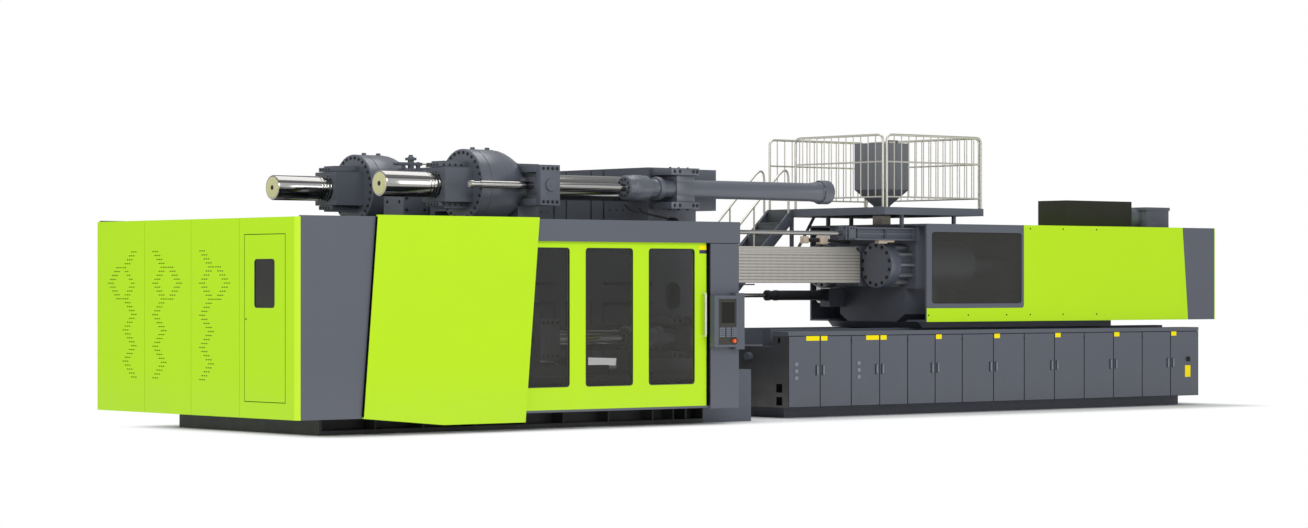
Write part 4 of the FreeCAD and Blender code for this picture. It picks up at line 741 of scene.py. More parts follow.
class Repeater:
    """Puts copies of a small shape on spots with Geometry Nodes."""

    seed: int = 7

    def __init__(self) -> None:
        """Build the tree."""
        made = bpy.data.node_groups.new("repeat_on_spots", "GeometryNodeTree")
        face = made.interface
        face.new_socket("Geometry", in_out="INPUT", socket_type="NodeSocketGeometry")
        self.ids = {}
        for label, kind in (("Prototype", "Object"), ("Material", "Material"), ("Turn Jitter", "Float"),
                            ("Seed", "Int")):
            socket = face.new_socket(label, in_out="INPUT", socket_type="NodeSocket" + kind)
            self.ids[label] = socket.identifier
        face.new_socket("Geometry", in_out="OUTPUT", socket_type="NodeSocketGeometry")
        t = Tree(made)
        start, end = t.node("NodeGroupInput").outputs, t.node("NodeGroupOutput")
        info = t.feed(t.node("GeometryNodeObjectInfo"), Object=start["Prototype"])
        facing, size, along = (
            t.feed(t.node("GeometryNodeInputNamedAttribute", data_type="FLOAT_VECTOR"), Name=label).outputs[0]
            for label in SPOT_VALUES)
        up = t.feed(t.node("FunctionNodeAlignRotationToVector", axis="Z"), Vector=facing)
        turn = t.feed(t.node("FunctionNodeAlignRotationToVector", axis="X", pivot_axis="Z"),
                      Rotation=up.outputs[0], Vector=along)
        put = t.feed(t.node("GeometryNodeInstanceOnPoints"), Points=start["Geometry"],
                     Instance=info.outputs["Geometry"], Rotation=turn.outputs[0], Scale=size)
        least = t.math("MULTIPLY", start["Turn Jitter"], -1.0)
        random = t.feed(t.node("FunctionNodeRandomValue", data_type="FLOAT"), i2=least,
                        i3=start["Turn Jitter"], Seed=start["Seed"])
        angle = t.feed(t.node("ShaderNodeCombineXYZ"), Z=random.outputs[1])
        spun = t.feed(t.node("GeometryNodeRotateInstances"), Instances=put.outputs[0],
                      Rotation=angle.outputs[0])
        real = t.feed(t.node("GeometryNodeRealizeInstances"), Geometry=spun.outputs[0])
        paint = t.feed(t.node("GeometryNodeSetMaterial"), Geometry=real.outputs[0],
                       Material=start["Material"])
        t.feed(end, Geometry=paint.outputs[0])
        self.tree = made

    def place(self, name: str, shape: Body, spots: Sequence[Spot], finish: str, body: str,
              jitter: float = 0.0) -> bpy.types.Object:
        """Repeat a shape on spots.

        Args:
            name: object name.
            shape: the shape about its own origin.
            spots: where its copies go.
            finish: finish name.
            body: the body they ride on.
            jitter: largest turn about the facing, in radians.

        Returns:
            The object.
        """
        proto = link(name + "_one", shape.mesh(name + "_one"))
        smooth(proto.data)
        cloud = bpy.data.meshes.new(name)
        cloud.from_pydata([s.at for s in spots], [], [])
        for label in SPOT_VALUES:
            values = [c for s in spots for c in getattr(s, label)]
            cloud.attributes.new(label, "FLOAT_VECTOR", "POINT").data.foreach_set("vector", values)
        made = link(name, cloud)
        nodes = made.modifiers.new("repeat", "NODES")
        nodes.node_group = self.tree
        for label, value in (("Prototype", proto), ("Material", PAINTS.use(finish)), ("Turn Jitter", jitter),
                             ("Seed", self.seed)):
            nodes[self.ids[label]] = value
        made.update_tag()
        bpy.context.view_layer.update()
        settle(made)
        bpy.data.objects.remove(proto)
        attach(made, body)
        return made

    def bolts(self, name: str, spots: Sequence[Spot], finish: str, body: str) -> bpy.types.Object:
        """Put bolt heads on spots, each turned by chance about its own axis."""
        return self.place(name, bolt_shape(), spots, finish, body, 0.5)


REPEAT = Repeater()


def bolt_shape() -> Body:
    """A hexagon head with a washer, one unit across, facing +Z."""
    head_profile = [(0.05, 0.0), (0.05, 0.36), (0.3, 0.36), (0.34, 0.3), (0.34, 0.0)]
    return disc(0.5, 0.05, 12).turned(head_profile, (0, 0, 0), "Z", 6)


def disc(r: float = 0.5, height: float = 1.0, sides: int = 16) -> Body:
    """A flat round disc on the origin, facing +Z."""
    return Body().turned(plug(0.0, height, r), (0, 0, 0), "Z", sides)


def head(x: float, y: float, z: float, facing: Triple, size: float = 0.05) -> Spot:
    """A spot for a bolt head that is scaled alike on all its axes."""
    return Spot((x, y, z), facing, (size, size, size))


def circle_spots(centre: Point, r: float, count: int, way: int, size: float, turn: float = 0.0) -> list[Spot]:
    """Spots round a bolt circle about an axis along X.

    Args:
        centre: centre of the circle.
        r: its radius.
        count: how many.
        way: 1 where the heads face +X, and -1 where they face -X.
        size: head size.
        turn: angle of the first, in turns of one pitch.

    Returns:
        The spots.
    """
    x, y, z = centre
    angles = [math.tau * (i + turn) / count for i in range(count)]
    return [Spot((x, y + r * math.cos(t), z + r * math.sin(t)), (way, 0, 0), (size,) * 3, (0.0, 0.0, 1.0))
            for t in angles]


# ------------------------------------------------------------------ clamp unit
@dataclass
class ClampUnit:
    """Tie bars, clamp cylinders, opening cylinders and what is bolted to them.

    Args:
        bar: X of the tie bars' ends.
        tie_r: tie bar radius.
        cyl: X of the drums of the clamp cylinders, rear and front.
        cyl_r: their radius.
        bore: radius of their bore.
        nut: X where the split lock nuts start, and their length.
        nut_bore: radius of the nuts' bore, open.
        open_z: heights of the lower and the upper opening cylinders.
        open_end: X of their front ends.
        rod_tail: X of their rods' front ends.
        block: X of the rods' end blocks.
        web: Y where their brackets and end blocks meet the platens.
    """

    bar: Pair = (-4.551, 1.29)
    tie_r: float = 0.1795
    cyl: Pair = (-3.154, -2.66)
    cyl_r: float = 0.508
    bore: float = 0.1895
    nut: Pair = (-3.5537, 0.3294)
    nut_bore: float = 0.184
    open_z: Pair = (AXIS_Z - TIE_Z, AXIS_Z + TIE_Z)
    open_end: Pair = (1.35, 3.29)
    rod_tail: Pair = (0.18, 0.4)
    block: Pair = (-2.389, -2.046)
    web: float = 1.62

    def build(self) -> None:
        """Build the clamp unit's pieces."""
        self._tie_bars()
        self._cylinders()
        self._opening()
        self._platens()
        self._fittings()
        self._manifold()
        self._valves()

    def _tie_bars(self) -> None:
        """Bars with ring grooves for the lock nuts, and their pale end faces."""
        bars, faces = Body(), Body()
        (x0, x1), r = self.bar, self.tie_r
        profile = [(x0 + 0.02, 0.0), (x0 + 0.02, 0.05), (x0 + 0.006, r - 0.02), (x0 + 0.006, r - 0.008),
                   (x0 + 0.02, r)]
        for i in range(9):
            x = x0 + 0.76 + i * 0.05
            profile += [(x - 0.009, r), (x - 0.007, r - 0.014), (x + 0.007, r - 0.014), (x + 0.009, r)]
        profile += [(x1 - 0.012, r), (x1, r - 0.012), (x1, 0.0)]
        for y, z in CORNERS:
            bars.turned(profile, (0, y, z))
            faces.turned([(x0, 0.0), (x0, r - 0.03), (x0 + 0.01, r - 0.022), (x0 + 0.03, 0.0)], (0, y, z))
        bars.make("tie_bars_turned", "chrome", "machine", replaces=["tie_bars"], slot="chrome_rod")
        faces.make("tie_bar_faces", "cream", "machine", slot="chrome_rod")

    def _cylinders(self) -> None:
        """Split lock nuts, and clamp cylinders with their bolts."""
        drums, bolts = Body(), []
        (x0, x1), r, bore = self.cyl, self.cyl_r, self.bore
        profile = [(x0, bore), (x0, r - 0.016), (x0 + 0.016, r), (x0 + 0.155, r), (x0 + 0.158, r - 0.006),
                   (x0 + 0.166, r - 0.006), (x0 + 0.169, r), (x1 - 0.012, r), (x1, r - 0.006)]
        shoulder = ((0.07, 0.01), (0.14, 0.03), (0.22, 0.064), (0.34, 0.13), (0.46, 0.19), (0.49, 0.208))
        profile += [(x1 + dx, r - dr) for dx, dr in shoulder] + [(x1 + 0.49, bore)]
        for y, z in CORNERS:
            drums.turned(profile, (0, y, z), sides=96)
            bolts += circle_spots((x0, y, z), r - 0.05, 28, -1, 0.05, 0.5)
        (x, length), b = self.nut, self.nut_bore
        arc = [math.pi * (k / 24 - 0.5) for k in range(25)]
        half = [(0.03 + b * math.cos(a), b * math.sin(a)) for a in arc]
        half += [(0.031, 0.2047), (0.2447, 0.2047), (0.2447, -0.2047), (0.031, -0.2047)]
        for side, name in zip(SIDES, ("front", "rear")):
            halves = Body()
            for y, z in CORNERS:
                halves.prism([(x, y + side * dy, z + dz) for dy, dz in half], (length, 0, 0))
            halves.make(name + "_nuts_turned", "ground", name + "_nuts", replaces=[name + "_nut_halves"],
                        slot="bare_steel")
        drums.make("clamp_drums", "satin", "platen", replaces=["clamp_cylinders"], slot="grey_paint")
        REPEAT.bolts("clamp_drum_bolts", bolts, "bolt", "platen")

    def _opening(self) -> None:
        """Opening cylinders in their brackets, their rods and the rods' end blocks."""
        tubes, rods, blocks = Body(), Body(), Body()
        fixed: list[Spot] = []
        moving: list[Spot] = []
        gland = [(-0.68, 0.0543), (-0.68, 0.155), (-0.66, 0.176), (-0.56, 0.176), (-0.55, 0.186),
                 (-0.38, 0.186), (-0.37, 0.18), (-0.28, 0.18), (-0.27, 0.15), (-0.236, 0.15), (-0.23, 0.144),
                 (-0.23, 0.135), (-0.1, 0.135), (-0.1, 0.158), (-0.09, 0.168), (-0.02, 0.168), (-0.01, 0.158),
                 (-0.01, 0.135)]
        flange = [(2.925, 0.135), (2.94, 0.14), (3.06, 0.154), (3.075, 0.156), (3.082, 0.15),
                  (3.094, 0.15), (3.1, 0.156), (3.11, 0.156), (3.11, 0.174), (3.116, 0.18), (3.284, 0.18),
                  (3.29, 0.174)]
        rod = [(-3.43, 0.0), (-3.43, 0.048), (-3.424, 0.054), (-3.37, 0.054), (-3.37, 0.044), (-3.25, 0.044),
               (-3.25, 0.054)]
        x0, x1 = self.block
        for sy in SIDES:
            y, web = sy * OPEN_Y, sy * self.web
            for upper, z in enumerate(self.open_z):
                end, tail = self.open_end[upper], self.rod_tail[upper]
                front = flange if upper else [(end - 0.012, 0.135), (end, 0.123)]
                tubes.turned(gland + front + [(end, 0.0), (end - 0.06, 0.0), (end - 0.06, 0.0543)], (0, y, z))
                rods.turned(rod + [(tail - 0.004, 0.054), (tail, 0.05), (tail, 0.0)], (0, y, z))
                fixed += circle_spots((-0.68, y, z), 0.118, 10, -1, 0.034)
                fixed += circle_spots((-0.66, y, z), 0.166, 16, -1, 0.018)
                for way in SIDES:
                    z0, z1 = z + way * 0.195, z + way * 0.295
                    tubes.box((0.04, web, z0), (0.57, sy * 2.1, z1))
                    tubes.box((0.2, web, z0), (0.54, sy * 2.03, z + way * 0.09))
                    fixed += [head(x, sy * 1.95, z1, (0, 0, way)) for x in (0.14, 0.3, 0.47)]
                    fixed += [Spot((x, sy * 2.1, z + way * 0.245), (0, sy, 0), (0.056, 0.056, 0.01))
                              for x in (0.1, 0.2, 0.455, 0.525)]
                    z0, z1 = z + way * 0.2835, z + way * 0.1835
                    blocks.box((x0, web, z0), (x1, sy * 2.05, z1))
                    moving += [head(x0 + 0.05 + 0.081 * k, sy * 2.15, z + way * 0.233, (0, sy, 0))
                               for k in range(4)]
                for ya, yb in ((web, y - sy * 0.09), (y + sy * 0.09, sy * 2.03)):
                    tubes.box((0.2, ya, z - 0.09), (0.54, yb, z + 0.09))
                if upper:
                    fixed += circle_spots((end, y, z), 0.148, 12, 1, 0.034)
                    fixed += circle_spots((3.11, y, z), 0.168, 12, -1, 0.018)
                blocks.box((x0, sy * 2.15, z - 0.2835), (x1, sy * 2.05, z + 0.2835))
                blocks.box((x0 + 0.05, sy * 2.05, z - 0.12), (x1 - 0.05, y - sy * 0.12, z + 0.12))
        tubes.make("opening_tubes", "satin", "machine", 0.004, replaces=["opening_cylinders"],
                   slot="grey_paint")
        rods.make("piston_rods", "chrome", "platen", replaces=["opening_rods"], slot="chrome_rod")
        blocks.make("rod_blocks", "grey", "platen", 0.004, slot="grey_paint")
        REPEAT.bolts("opening_tube_bolts", fixed, "rubber", "machine")
        REPEAT.bolts("rod_block_bolts", moving, "rubber", "platen")

    @staticmethod
    def _platens() -> None:
        """Tapped holes in the face of the fixed platen."""
        holes = [Spot((-0.001, side * y, z), (-1, 0, 0), (0.03, 0.03, 0.01))
                 for z in (3.113, 2.487, 2.181, 1.55) for y in (0.588, 0.743, 0.889, 1.046, 1.199)
                 for side in SIDES]
        REPEAT.place("platen_tapped_holes", disc(height=0.06), holes, "rubber", "machine")

    def _fittings(self) -> None:
        """Ports on the drums, plates beside the lock nuts and bosses on the rods' end blocks."""
        ports, plates, small = Body(), Body(), Body()
        dots: list[Spot] = []
        caps: list[Spot] = []
        socket = (0.036, 0.036, 0.004)
        for y, z in CORNERS:
            sy, way = (1 if y > 0 else -1), (1 if z > AXIS_Z else -1)
            caps.append(Spot((self.bar[0], y, z), (-1, 0, 0), (0.07, 0.07, 0.0015)))
            port = [(0.47, 0.0), (0.47, 0.034), (0.53, 0.034), (0.536, 0.028), (0.536, 0.0)]
            for x in (-2.955, -2.7):
                ports.turned([(way * a, r) for a, r in port], (x, y, z), "Z", 16)
            ports.turned(plug(way * 0.3, way * 0.4, 0.03), (-2.42, y, z), "Z", 16)
            for up in SIDES:
                middle = z + up * 0.275
                plates.box((-3.64, y - 0.16, middle - 0.03), (-3.2, y + 0.16, middle + 0.03))
                for k in range(4):
                    dots.append(Spot((-3.641, y - 0.105 + 0.07 * k, middle), (-1, 0, 0), socket))
                    dots.append(Spot((-3.57 + 0.1 * k, y + sy * 0.161, middle), (0, sy, 0), socket))
        ports.make("drum_ports", "grey", "platen")
        plates.make("nut_side_plates", "grey", "platen", 0.006, slot="grey_paint")
        boss = [(0, 0), (0, 0.085), (0.026, 0.085), (0.032, 0.079), (0.032, 0.03), (0.04, 0.026), (0.04, 0)]
        x = sum(self.block) / 2
        for side in SIDES:
            for z in self.open_z:
                small.turned([(side * a, r) for a, r in boss], (x, side * 2.15, z), "Y", 32)
                small.box((x - 0.06, side * 2.15, z - 0.125), (x + 0.06, side * 2.158, z - 0.1))
        small.make("rod_block_bosses", "grey", "platen")
        REPEAT.place("nut_plate_sockets", disc(), dots, "rubber", "platen")
        REPEAT.place("tie_bar_centre_holes", disc(), caps, "rubber", "machine")

    @staticmethod
    def _manifold() -> None:
        """The block with bolts behind the moving platen."""
        stand = Body().box((-3.37, -0.24, 2.72), (-2.93, 0.24, 3.29))
        stand.box((-2.93, -0.2, 2.8), (-2.38, 0.2, 3.2))
        stand.make("rear_manifold", "grey_cast", "platen", 0.008, slot="grey_paint")
        heads = [head(-3.15 + i * 0.16, -0.24, 3.166 + k * 0.082, (0, -1, 0)) for i in SIDES for k in SIDES]
        heads += [head(-3.37, 0.15 * i, 3.0 + k * 0.2, (-1, 0, 0)) for i in SIDES for k in SIDES]
        REPEAT.bolts("rear_manifold_bolts", heads, "bolt", "platen")

    @staticmethod
    def _valves() -> None:
        """A valve block with its pipes, and two hoses of the opening cylinder."""
        base, parts, hose, pipes = Body(), Body(), Body(), Body()
        base.box((-2.86, 0.42, 3.5), (-2.4, 0.74, 3.66)).box((-2.8, 0.47, 3.66), (-2.5, 0.69, 3.7))
        base.make("valve_block", "grey", "platen", 0.005, slot="grey_paint")
        for x, r, h in ((-2.79, 0.03, 0.08), (-2.66, 0.045, 0.2), (-2.53, 0.034, 0.1)):
            parts.turned([(0, 0), (0, r), (h - 0.03, r), (h - 0.02, r * 0.7), (h, r * 0.7), (h, 0)],
                         (x, 0.56, 3.7), "Z", 20)
        parts.box((-2.9, 0.52, 3.745), (-2.48, 0.6, 3.79)).box((-2.72, 0.5, 3.82), (-2.6, 0.62, 3.86))
        parts.turned(plug(-2.96, -2.9, 0.024), (0, 0.56, 3.767), "X", 16)
        parts.make("valve_parts", "grey_cast", "platen", 0.003)
        hose.tube([(-0.54, -1.74, 3.17), (-0.43, -1.74, 3.09), (-0.28, -1.74, 3.064)], 0.013, 10, 0.06)
        hose.tube([(-0.276, -1.75, 3.14), (-0.22, -1.75, 3.06), (0.01, -1.75, 3.02), (0.25, -1.75, 2.98)],
                  0.015, 10, 0.05)
        hose.make("opening_hoses", "rubber", "machine")
        for y in (0.46, 0.7):
            pipes.tube([(-2.45, y, 3.7), (-2.45, y, 3.78), (-2.2, y, 3.78), (-2.2, y, 3.62)], 0.014, 12, 0.05)
        pipes.make("valve_pipes", "tube", "platen")


# ------------------------------------------------------------------ injection unit
@dataclass
class InjectionUnit:
    """Barrel, injection cylinders, carriage cylinders and their rods.

    Args:
        side_y: axis of the injection cylinders.
        flange: X of their front flange's face, and of its back.
        round_at: Y and Z of the round carriage cylinder, low on the far side.
        square_at: Y and Z of the square one, high on the operator's side.
    """

    side_y: float = 0.632
    flange: Pair = (5.5, 5.71)
    round_at: Pair = (0.75, 1.851)
    square_at: Pair = (-0.97, 2.815)

    def build(self) -> None:
        """Build the injection unit's pieces."""
        self._barrel()
        self._drums()
        self._carriage_cylinders()
        self._lubrication()

    @staticmethod
    def _barrel() -> None:
        """The barrel with its nozzle, and the flange that holds its cover."""
        profile = [(0.06, 0.0), (0.06, 0.024), (0.07, 0.03), (0.13, 0.07), (1.15, 0.07), (1.15, 0.15),
                   (1.45, 0.15), (1.45, 0.2), (1.456, 0.205), (6.48, 0.205), (6.48, 0.0923), (1.35, 0.0923),
                   (1.35, 0.0)]
        barrel = Body().turned(profile, (0, 0, AXIS_Z))
        barrel.make("barrel_turned", "steel", "carriage", replaces=["barrel"], slot="bare_steel")
        flange = Body().box((5.452, -0.262, 2.06), (5.4695, 0.262, 2.602))
        flange.box((5.47, -0.25, 2.64), (5.9, 0.25, 2.66))
        flange.make("barrel_flange", "dark", "carriage", 0.004, slot="grey_paint")
        rows = [2.1 + 0.092 * k for k in range(6)]
        heads = [head(5.452, y, z, (-1, 0, 0), 0.036) for y in (-0.24, 0.24) for z in rows]
        heads += [head(5.462, side * 0.262, z, (0, side, 0), 0.03) for side in SIDES for z in rows]
        REPEAT.bolts("barrel_flange_bolts", heads, "bolt", "carriage")

    def _drums(self) -> None:
        """Injection cylinders, the ribs behind their flanges and their bolts."""
        drums, ribs, bolts = Body(), Body(), []
        x0, x1 = self.flange
        front = [(x0, 0.0), (x0, 0.354), (x0 + 0.008, 0.362), (x1 - 0.008, 0.362), (x1, 0.354), (x1, 0.285),
                 (6.018, 0.285), (6.018, 0.1103), (5.56, 0.1103), (5.56, 0.0)]
        back = [(6.256, 0.1103), (6.256, 0.362), (7.362, 0.362), (7.37, 0.354), (7.37, 0.1103)]
        for side in SIDES:
            y = side * self.side_y
            drums.turned(front, (0, y, AXIS_Z)).turned(back, (0, y, AXIS_Z))
            for i in range(12):
                t = math.tau * i / 12
                foot, out = Vector((x1, y, AXIS_Z)), Vector((0, math.cos(t), math.sin(t)))
                across = Vector((0, -math.sin(t), math.cos(t)))
                ribs.prism([foot + out * r + across * w for r, w in
                            ((0.275, -0.022), (0.345, -0.02), (0.345, 0.02), (0.275, 0.022))], (0.308, 0, 0))
            bolts += circle_spots((x0, y, AXIS_Z), 0.31, 14, -1, 0.06, 0.5)
            bolts += circle_spots((7.37, y, AXIS_Z), 0.31, 14, 1, 0.06, 0.5)
        drums.make("injection_drums", "satin", "carriage", 0.003, replaces=["injection_cylinders"],
                   slot="grey_paint")
        REPEAT.bolts("injection_drum_bolts", bolts, "rubber", "carriage")
        ribs.make("injection_drum_ribs", "grey_pale", "carriage", 0.002, slot="grey_paint")

    @staticmethod
    def _lubrication() -> None:
        """Fittings and hoses over the barrel cover, and a fitting under the square carriage cylinder."""
        fittings, hoses = Body(), Body()
        fittings.box((4.5, -0.05, 2.67), (4.6, 0.05, 2.785)).box((4.85, -0.06, 2.66), (5.0, 0.06, 2.79))
        fittings.box((5.22, -0.99, 2.665), (5.41, -0.9, 2.735))
        fittings.box((5.41, -0.98, 2.685), (5.57, -0.91, 2.735))
        fittings.make("lubrication_fittings", "beige", "carriage", 0.006)
        hoses.tube([(4.6, 0.0, 2.725), (4.85, 0.0, 2.725)], 0.034, 16)
        hoses.tube([(5.0, 0.0, 2.725), (5.3, 0.0, 2.7), (5.52, 0.0, 2.7)], 0.026, 14, 0.1)
        hoses.make("lubrication_hoses", "rubber", "carriage")

    def _carriage_cylinders(self) -> None:
        """The two cylinders that pull the carriage, with their rods."""
        tubes, beams, rods = Body(), Body(), Body()
        y, z = self.round_at
        tubes.turned([(4.41, 0.0343), (4.41, 0.08), (4.414, 0.084), (4.47, 0.084), (4.474, 0.074),
                      (4.58, 0.074), (4.584, 0.084), (4.647, 0.084), (4.651, 0.079), (5.68, 0.079),
                      (5.68, 0.0), (5.64, 0.0), (5.64, 0.0343)], (0, y, z), sides=40)
        tubes.box((5.6, y - 0.09, z - 0.09), (5.68, y + 0.09, z + 0.09))
        y, z = self.square_at
        beams.turned([(4.45, 0.0343), (4.45, 0.07), (4.5, 0.07), (4.5, 0.0343)], (0, y, z))
        # Each box as its ends along X, then how far it reaches beside, below and above the axis.
        sections = [(4.43, 4.45, 0.115, 0.1, 0.115), (4.5, 4.64, 0.11, 0.095, 0.11),
                    (4.64, 5.96, 0.05, 0.075, 0.075), (4.64, 5.96, 0.1, 0.1, -0.075),
                    (4.64, 5.96, 0.1, -0.075, 0.1), (5.96, 6.018, 0.13, 0.1, 0.13)]
        sections += [(x, x + 0.012, 0.1, 0.076, 0.076) for x in (4.64, 4.69, 5.29, 5.32, 5.9, 5.935)]
        for x0, x1, beside, below, above in sections:
            beams.box((x0, y - beside, z - below), (x1, y + beside, z + above))
        beams.box((4.64, y - 0.07, z - 0.018), (5.92, y - 0.05, z + 0.018))
        rod = [(0.91, 0.0), (0.91, 0.03), (0.914, 0.034), (5.496, 0.034), (5.5, 0.03), (5.5, 0.0)]
        for at in (self.round_at, self.square_at):
            rods.turned(rod, (0, *at), sides=32)
        tubes.make("pull_tube", "dark", "carriage", replaces=["carriage_cylinders"], slot="grey_paint")
        beams.make("pull_beam", "grey", "carriage", 0.003, slot="grey_paint")
        rods.make("carriage_rods_turned", "chrome", "machine", replaces=["carriage_rods"], slot="chrome_rod")
        bolts = [head(4.43, y + 0.085 * i, z + 0.007 + 0.085 * k, (-1, 0, 0), 0.034)
                 for i in SIDES for k in SIDES]
        bolts += [head(x, y - 0.11, z + 0.08 * k, (0, -1, 0), 0.03) for x in (4.54, 4.6) for k in SIDES]
        REPEAT.bolts("pull_beam_bolts", bolts, "bolt", "carriage")


# ------------------------------------------------------------------ guards
def face_x(x: float, y0: float, y1: float, z0: float, z1: float) -> list[Point]:
    """Corners of an upright rectangle facing X."""
    return [(x, y0, z0), (x, y1, z0), (x, y1, z1), (x, y0, z1)]


def face_y(y: float, x0: float, x1: float, z0: float, z1: float) -> list[Point]:
    """Corners of an upright rectangle facing Y."""
    return [(x0, y, z0), (x1, y, z0), (x1, y, z1), (x0, y, z1)]


def round_outline(a0: float, a1: float, b0: float, b1: float, r: float, steps: int = 6) -> list[Pair]:
    """Outline of a rectangle with rounded corners.

    Args:
        a0: lowest first coordinate.
        a1: highest first coordinate.
        b0: lowest second coordinate.
        b1: highest second coordinate.
        r: radius of the corners.
        steps: edges in each of them.

    Returns:
        Its points.
    """
    points = []
    for q, (a, b) in enumerate(((a1 - r, b1 - r), (a0 + r, b1 - r), (a0 + r, b0 + r), (a1 - r, b0 + r))):
        for i in range(steps + 1):
            t = math.pi / 2 * (q + i / steps)
            points.append((a + r * math.cos(t), b + r * math.sin(t)))
    return points


@dataclass
class EndWall:
    """The wall across the clamp end, with its vent slots and service door.

    Args:
        x: outer and inner face.
        seams: Y of the joints, from the far edge to the near one.
        z: bottom and top.
        row: height between two rows of slots.
        step: pitch of the slots along a row.
        leaf: near, far, bottom and top edge of the service door.
        window: near, far, bottom and top edge of its window.
    """

    x: Pair = (-6.6945, -6.657)
    seams: tuple[float, ...] = (2.54, 1.27, 0.061, -1.141, -2.44)
    z: Pair = (0.246, 2.908)
    row: float = 0.0545
    step: float = 0.055
    leaf: tuple[float, ...] = (-2.238, -1.26, 0.464, 2.686)
    window: tuple[float, ...] = (-1.986, -1.501, 1.71, 2.358)

    def build(self) -> None:
        """Build the wall's pieces."""
        wall, back = Body(), Body()
        (x0, x1), (z0, z1) = self.x, self.z
        for left, right in zip(self.seams, self.seams[1:-1]):
            wall.box((x0, right + 0.003, z0), (x1, left - 0.003, z1))
        wall.ring(face_x(x0, -2.44, -1.144, z0, z1), face_x(x0, -2.242, -1.256, 0.46, 2.69), (0.037, 0, 0))
        # The end wall takes the darker green: painted shade of the end face.
        wall.make("end_wall", "green_end", "machine", replaces=["end_panels"], slot="green_paint")
        # The folded corner strip takes a lighter green: painted highlight where the fold catches the light.
        fold = ((x0, -2.44), (x0, -2.478), (-6.674, -2.54), (x1, -2.54), (x1, -2.44))
        strip = Body().prism([(x, y, z0) for x, y in fold], (0, 0, z1 - z0))
        strip.make("end_wall_fold", "bright_edge", "machine", slot="green_paint")
        for y in (-2.5, -2.318, -1.26, 0.021, 1.23, 2.42):
            back.box((-6.656, y, 0.25), (-6.576, y + 0.08, z1))
        for z in (0.25, 2.828):
            back.box((-6.656, -2.5, z), (-6.576, 2.5, z + 0.08))
        for y in (-0.98, 0.9):
            back.box((-6.576, y, 0.25), (-5.83, y + 0.08, 0.33))
        back.make("end_wall_frame", "dark", "machine", 0.002, slot="dark_paint")
        self._slots()
        self._door()

    def _slots(self) -> None:
        """Rows of three slots that wind down each panel, with a second strand beside nine of them."""
        outline = round_outline(-0.5, 0.5, -0.2, 0.2, 0.16, 3)
        dash = Body().prism([(x, y, 0.0) for x, y in outline], (0, 0, 1.0))
        spots = []
        for panel in range(3):
            for k in range(33):
                firsts = [1.06 - self.step * abs((k + 4) % 8 - 4)]
                if 4 <= k <= 12:
                    firsts.append(0.663 - self.step * (4 - abs(k - 8)))
                for n, first in enumerate(firsts):
                    for d in range(3):
                        if panel == n == d == 0 and 4 <= k <= 8:
                            continue
                        y = first - 0.018 - self.step * d
                        y = 2.54 - y if panel == 0 else y - 1.205 * (panel - 1)
                        spots.append(Spot((self.x[0], y, 2.475 - self.row * k), (-1.0, 0, 0),
                                          (0.036, 0.036, 0.001), (0.0, 1.0, 0.0)))
        REPEAT.place("vent_slots", dash, spots, "slot", "machine")

    def _door(self) -> None:
        """The leaf of the service door, its edge, the seal of its window and its lock."""
        x = self.x[0]
        y0, y1, z0, z1 = self.leaf
        window = round_outline(*self.window, 0.05)
        count = len(window) // 4
        corners = [(x, y1, z1), (x, y0, z1), (x, y0, z0), (x, y1, z0)]
        leaf = Body().ring([corners[i // count] for i in range(len(window))], [(x, y, z) for y, z in window],
                           (0.036, 0, 0))
        leaf.make("service_door_leaf", "green_end", "service_door", replaces=["end_door"], slot="green_paint")
        outer, inner = (face_x(x - 0.0006, y0 - d, y1 + d, z0 - d, z1 + d) for d in (0.0015, -0.007))
        Body().ring(outer, inner, (0.005, 0, 0)).make("service_door_edge", "slot", "service_door")
        a0, a1, b0, b1 = self.window
        inside = round_outline(a0 + 0.011, a1 - 0.011, b0 + 0.011, b1 - 0.011, 0.04)
        outer, inner = ([(x - 0.0008, y, z) for y, z in line] for line in (window, inside))
        Body().ring(outer, inner, (0.01, 0, 0)).make("service_window_seal", "rubber", "service_door")
        lock = Body().turned(plug(-0.0012, 0.01, 0.014), (x, -1.3, 1.56), "X", 20)
        lock.make("service_door_lock", "rubber", "service_door")


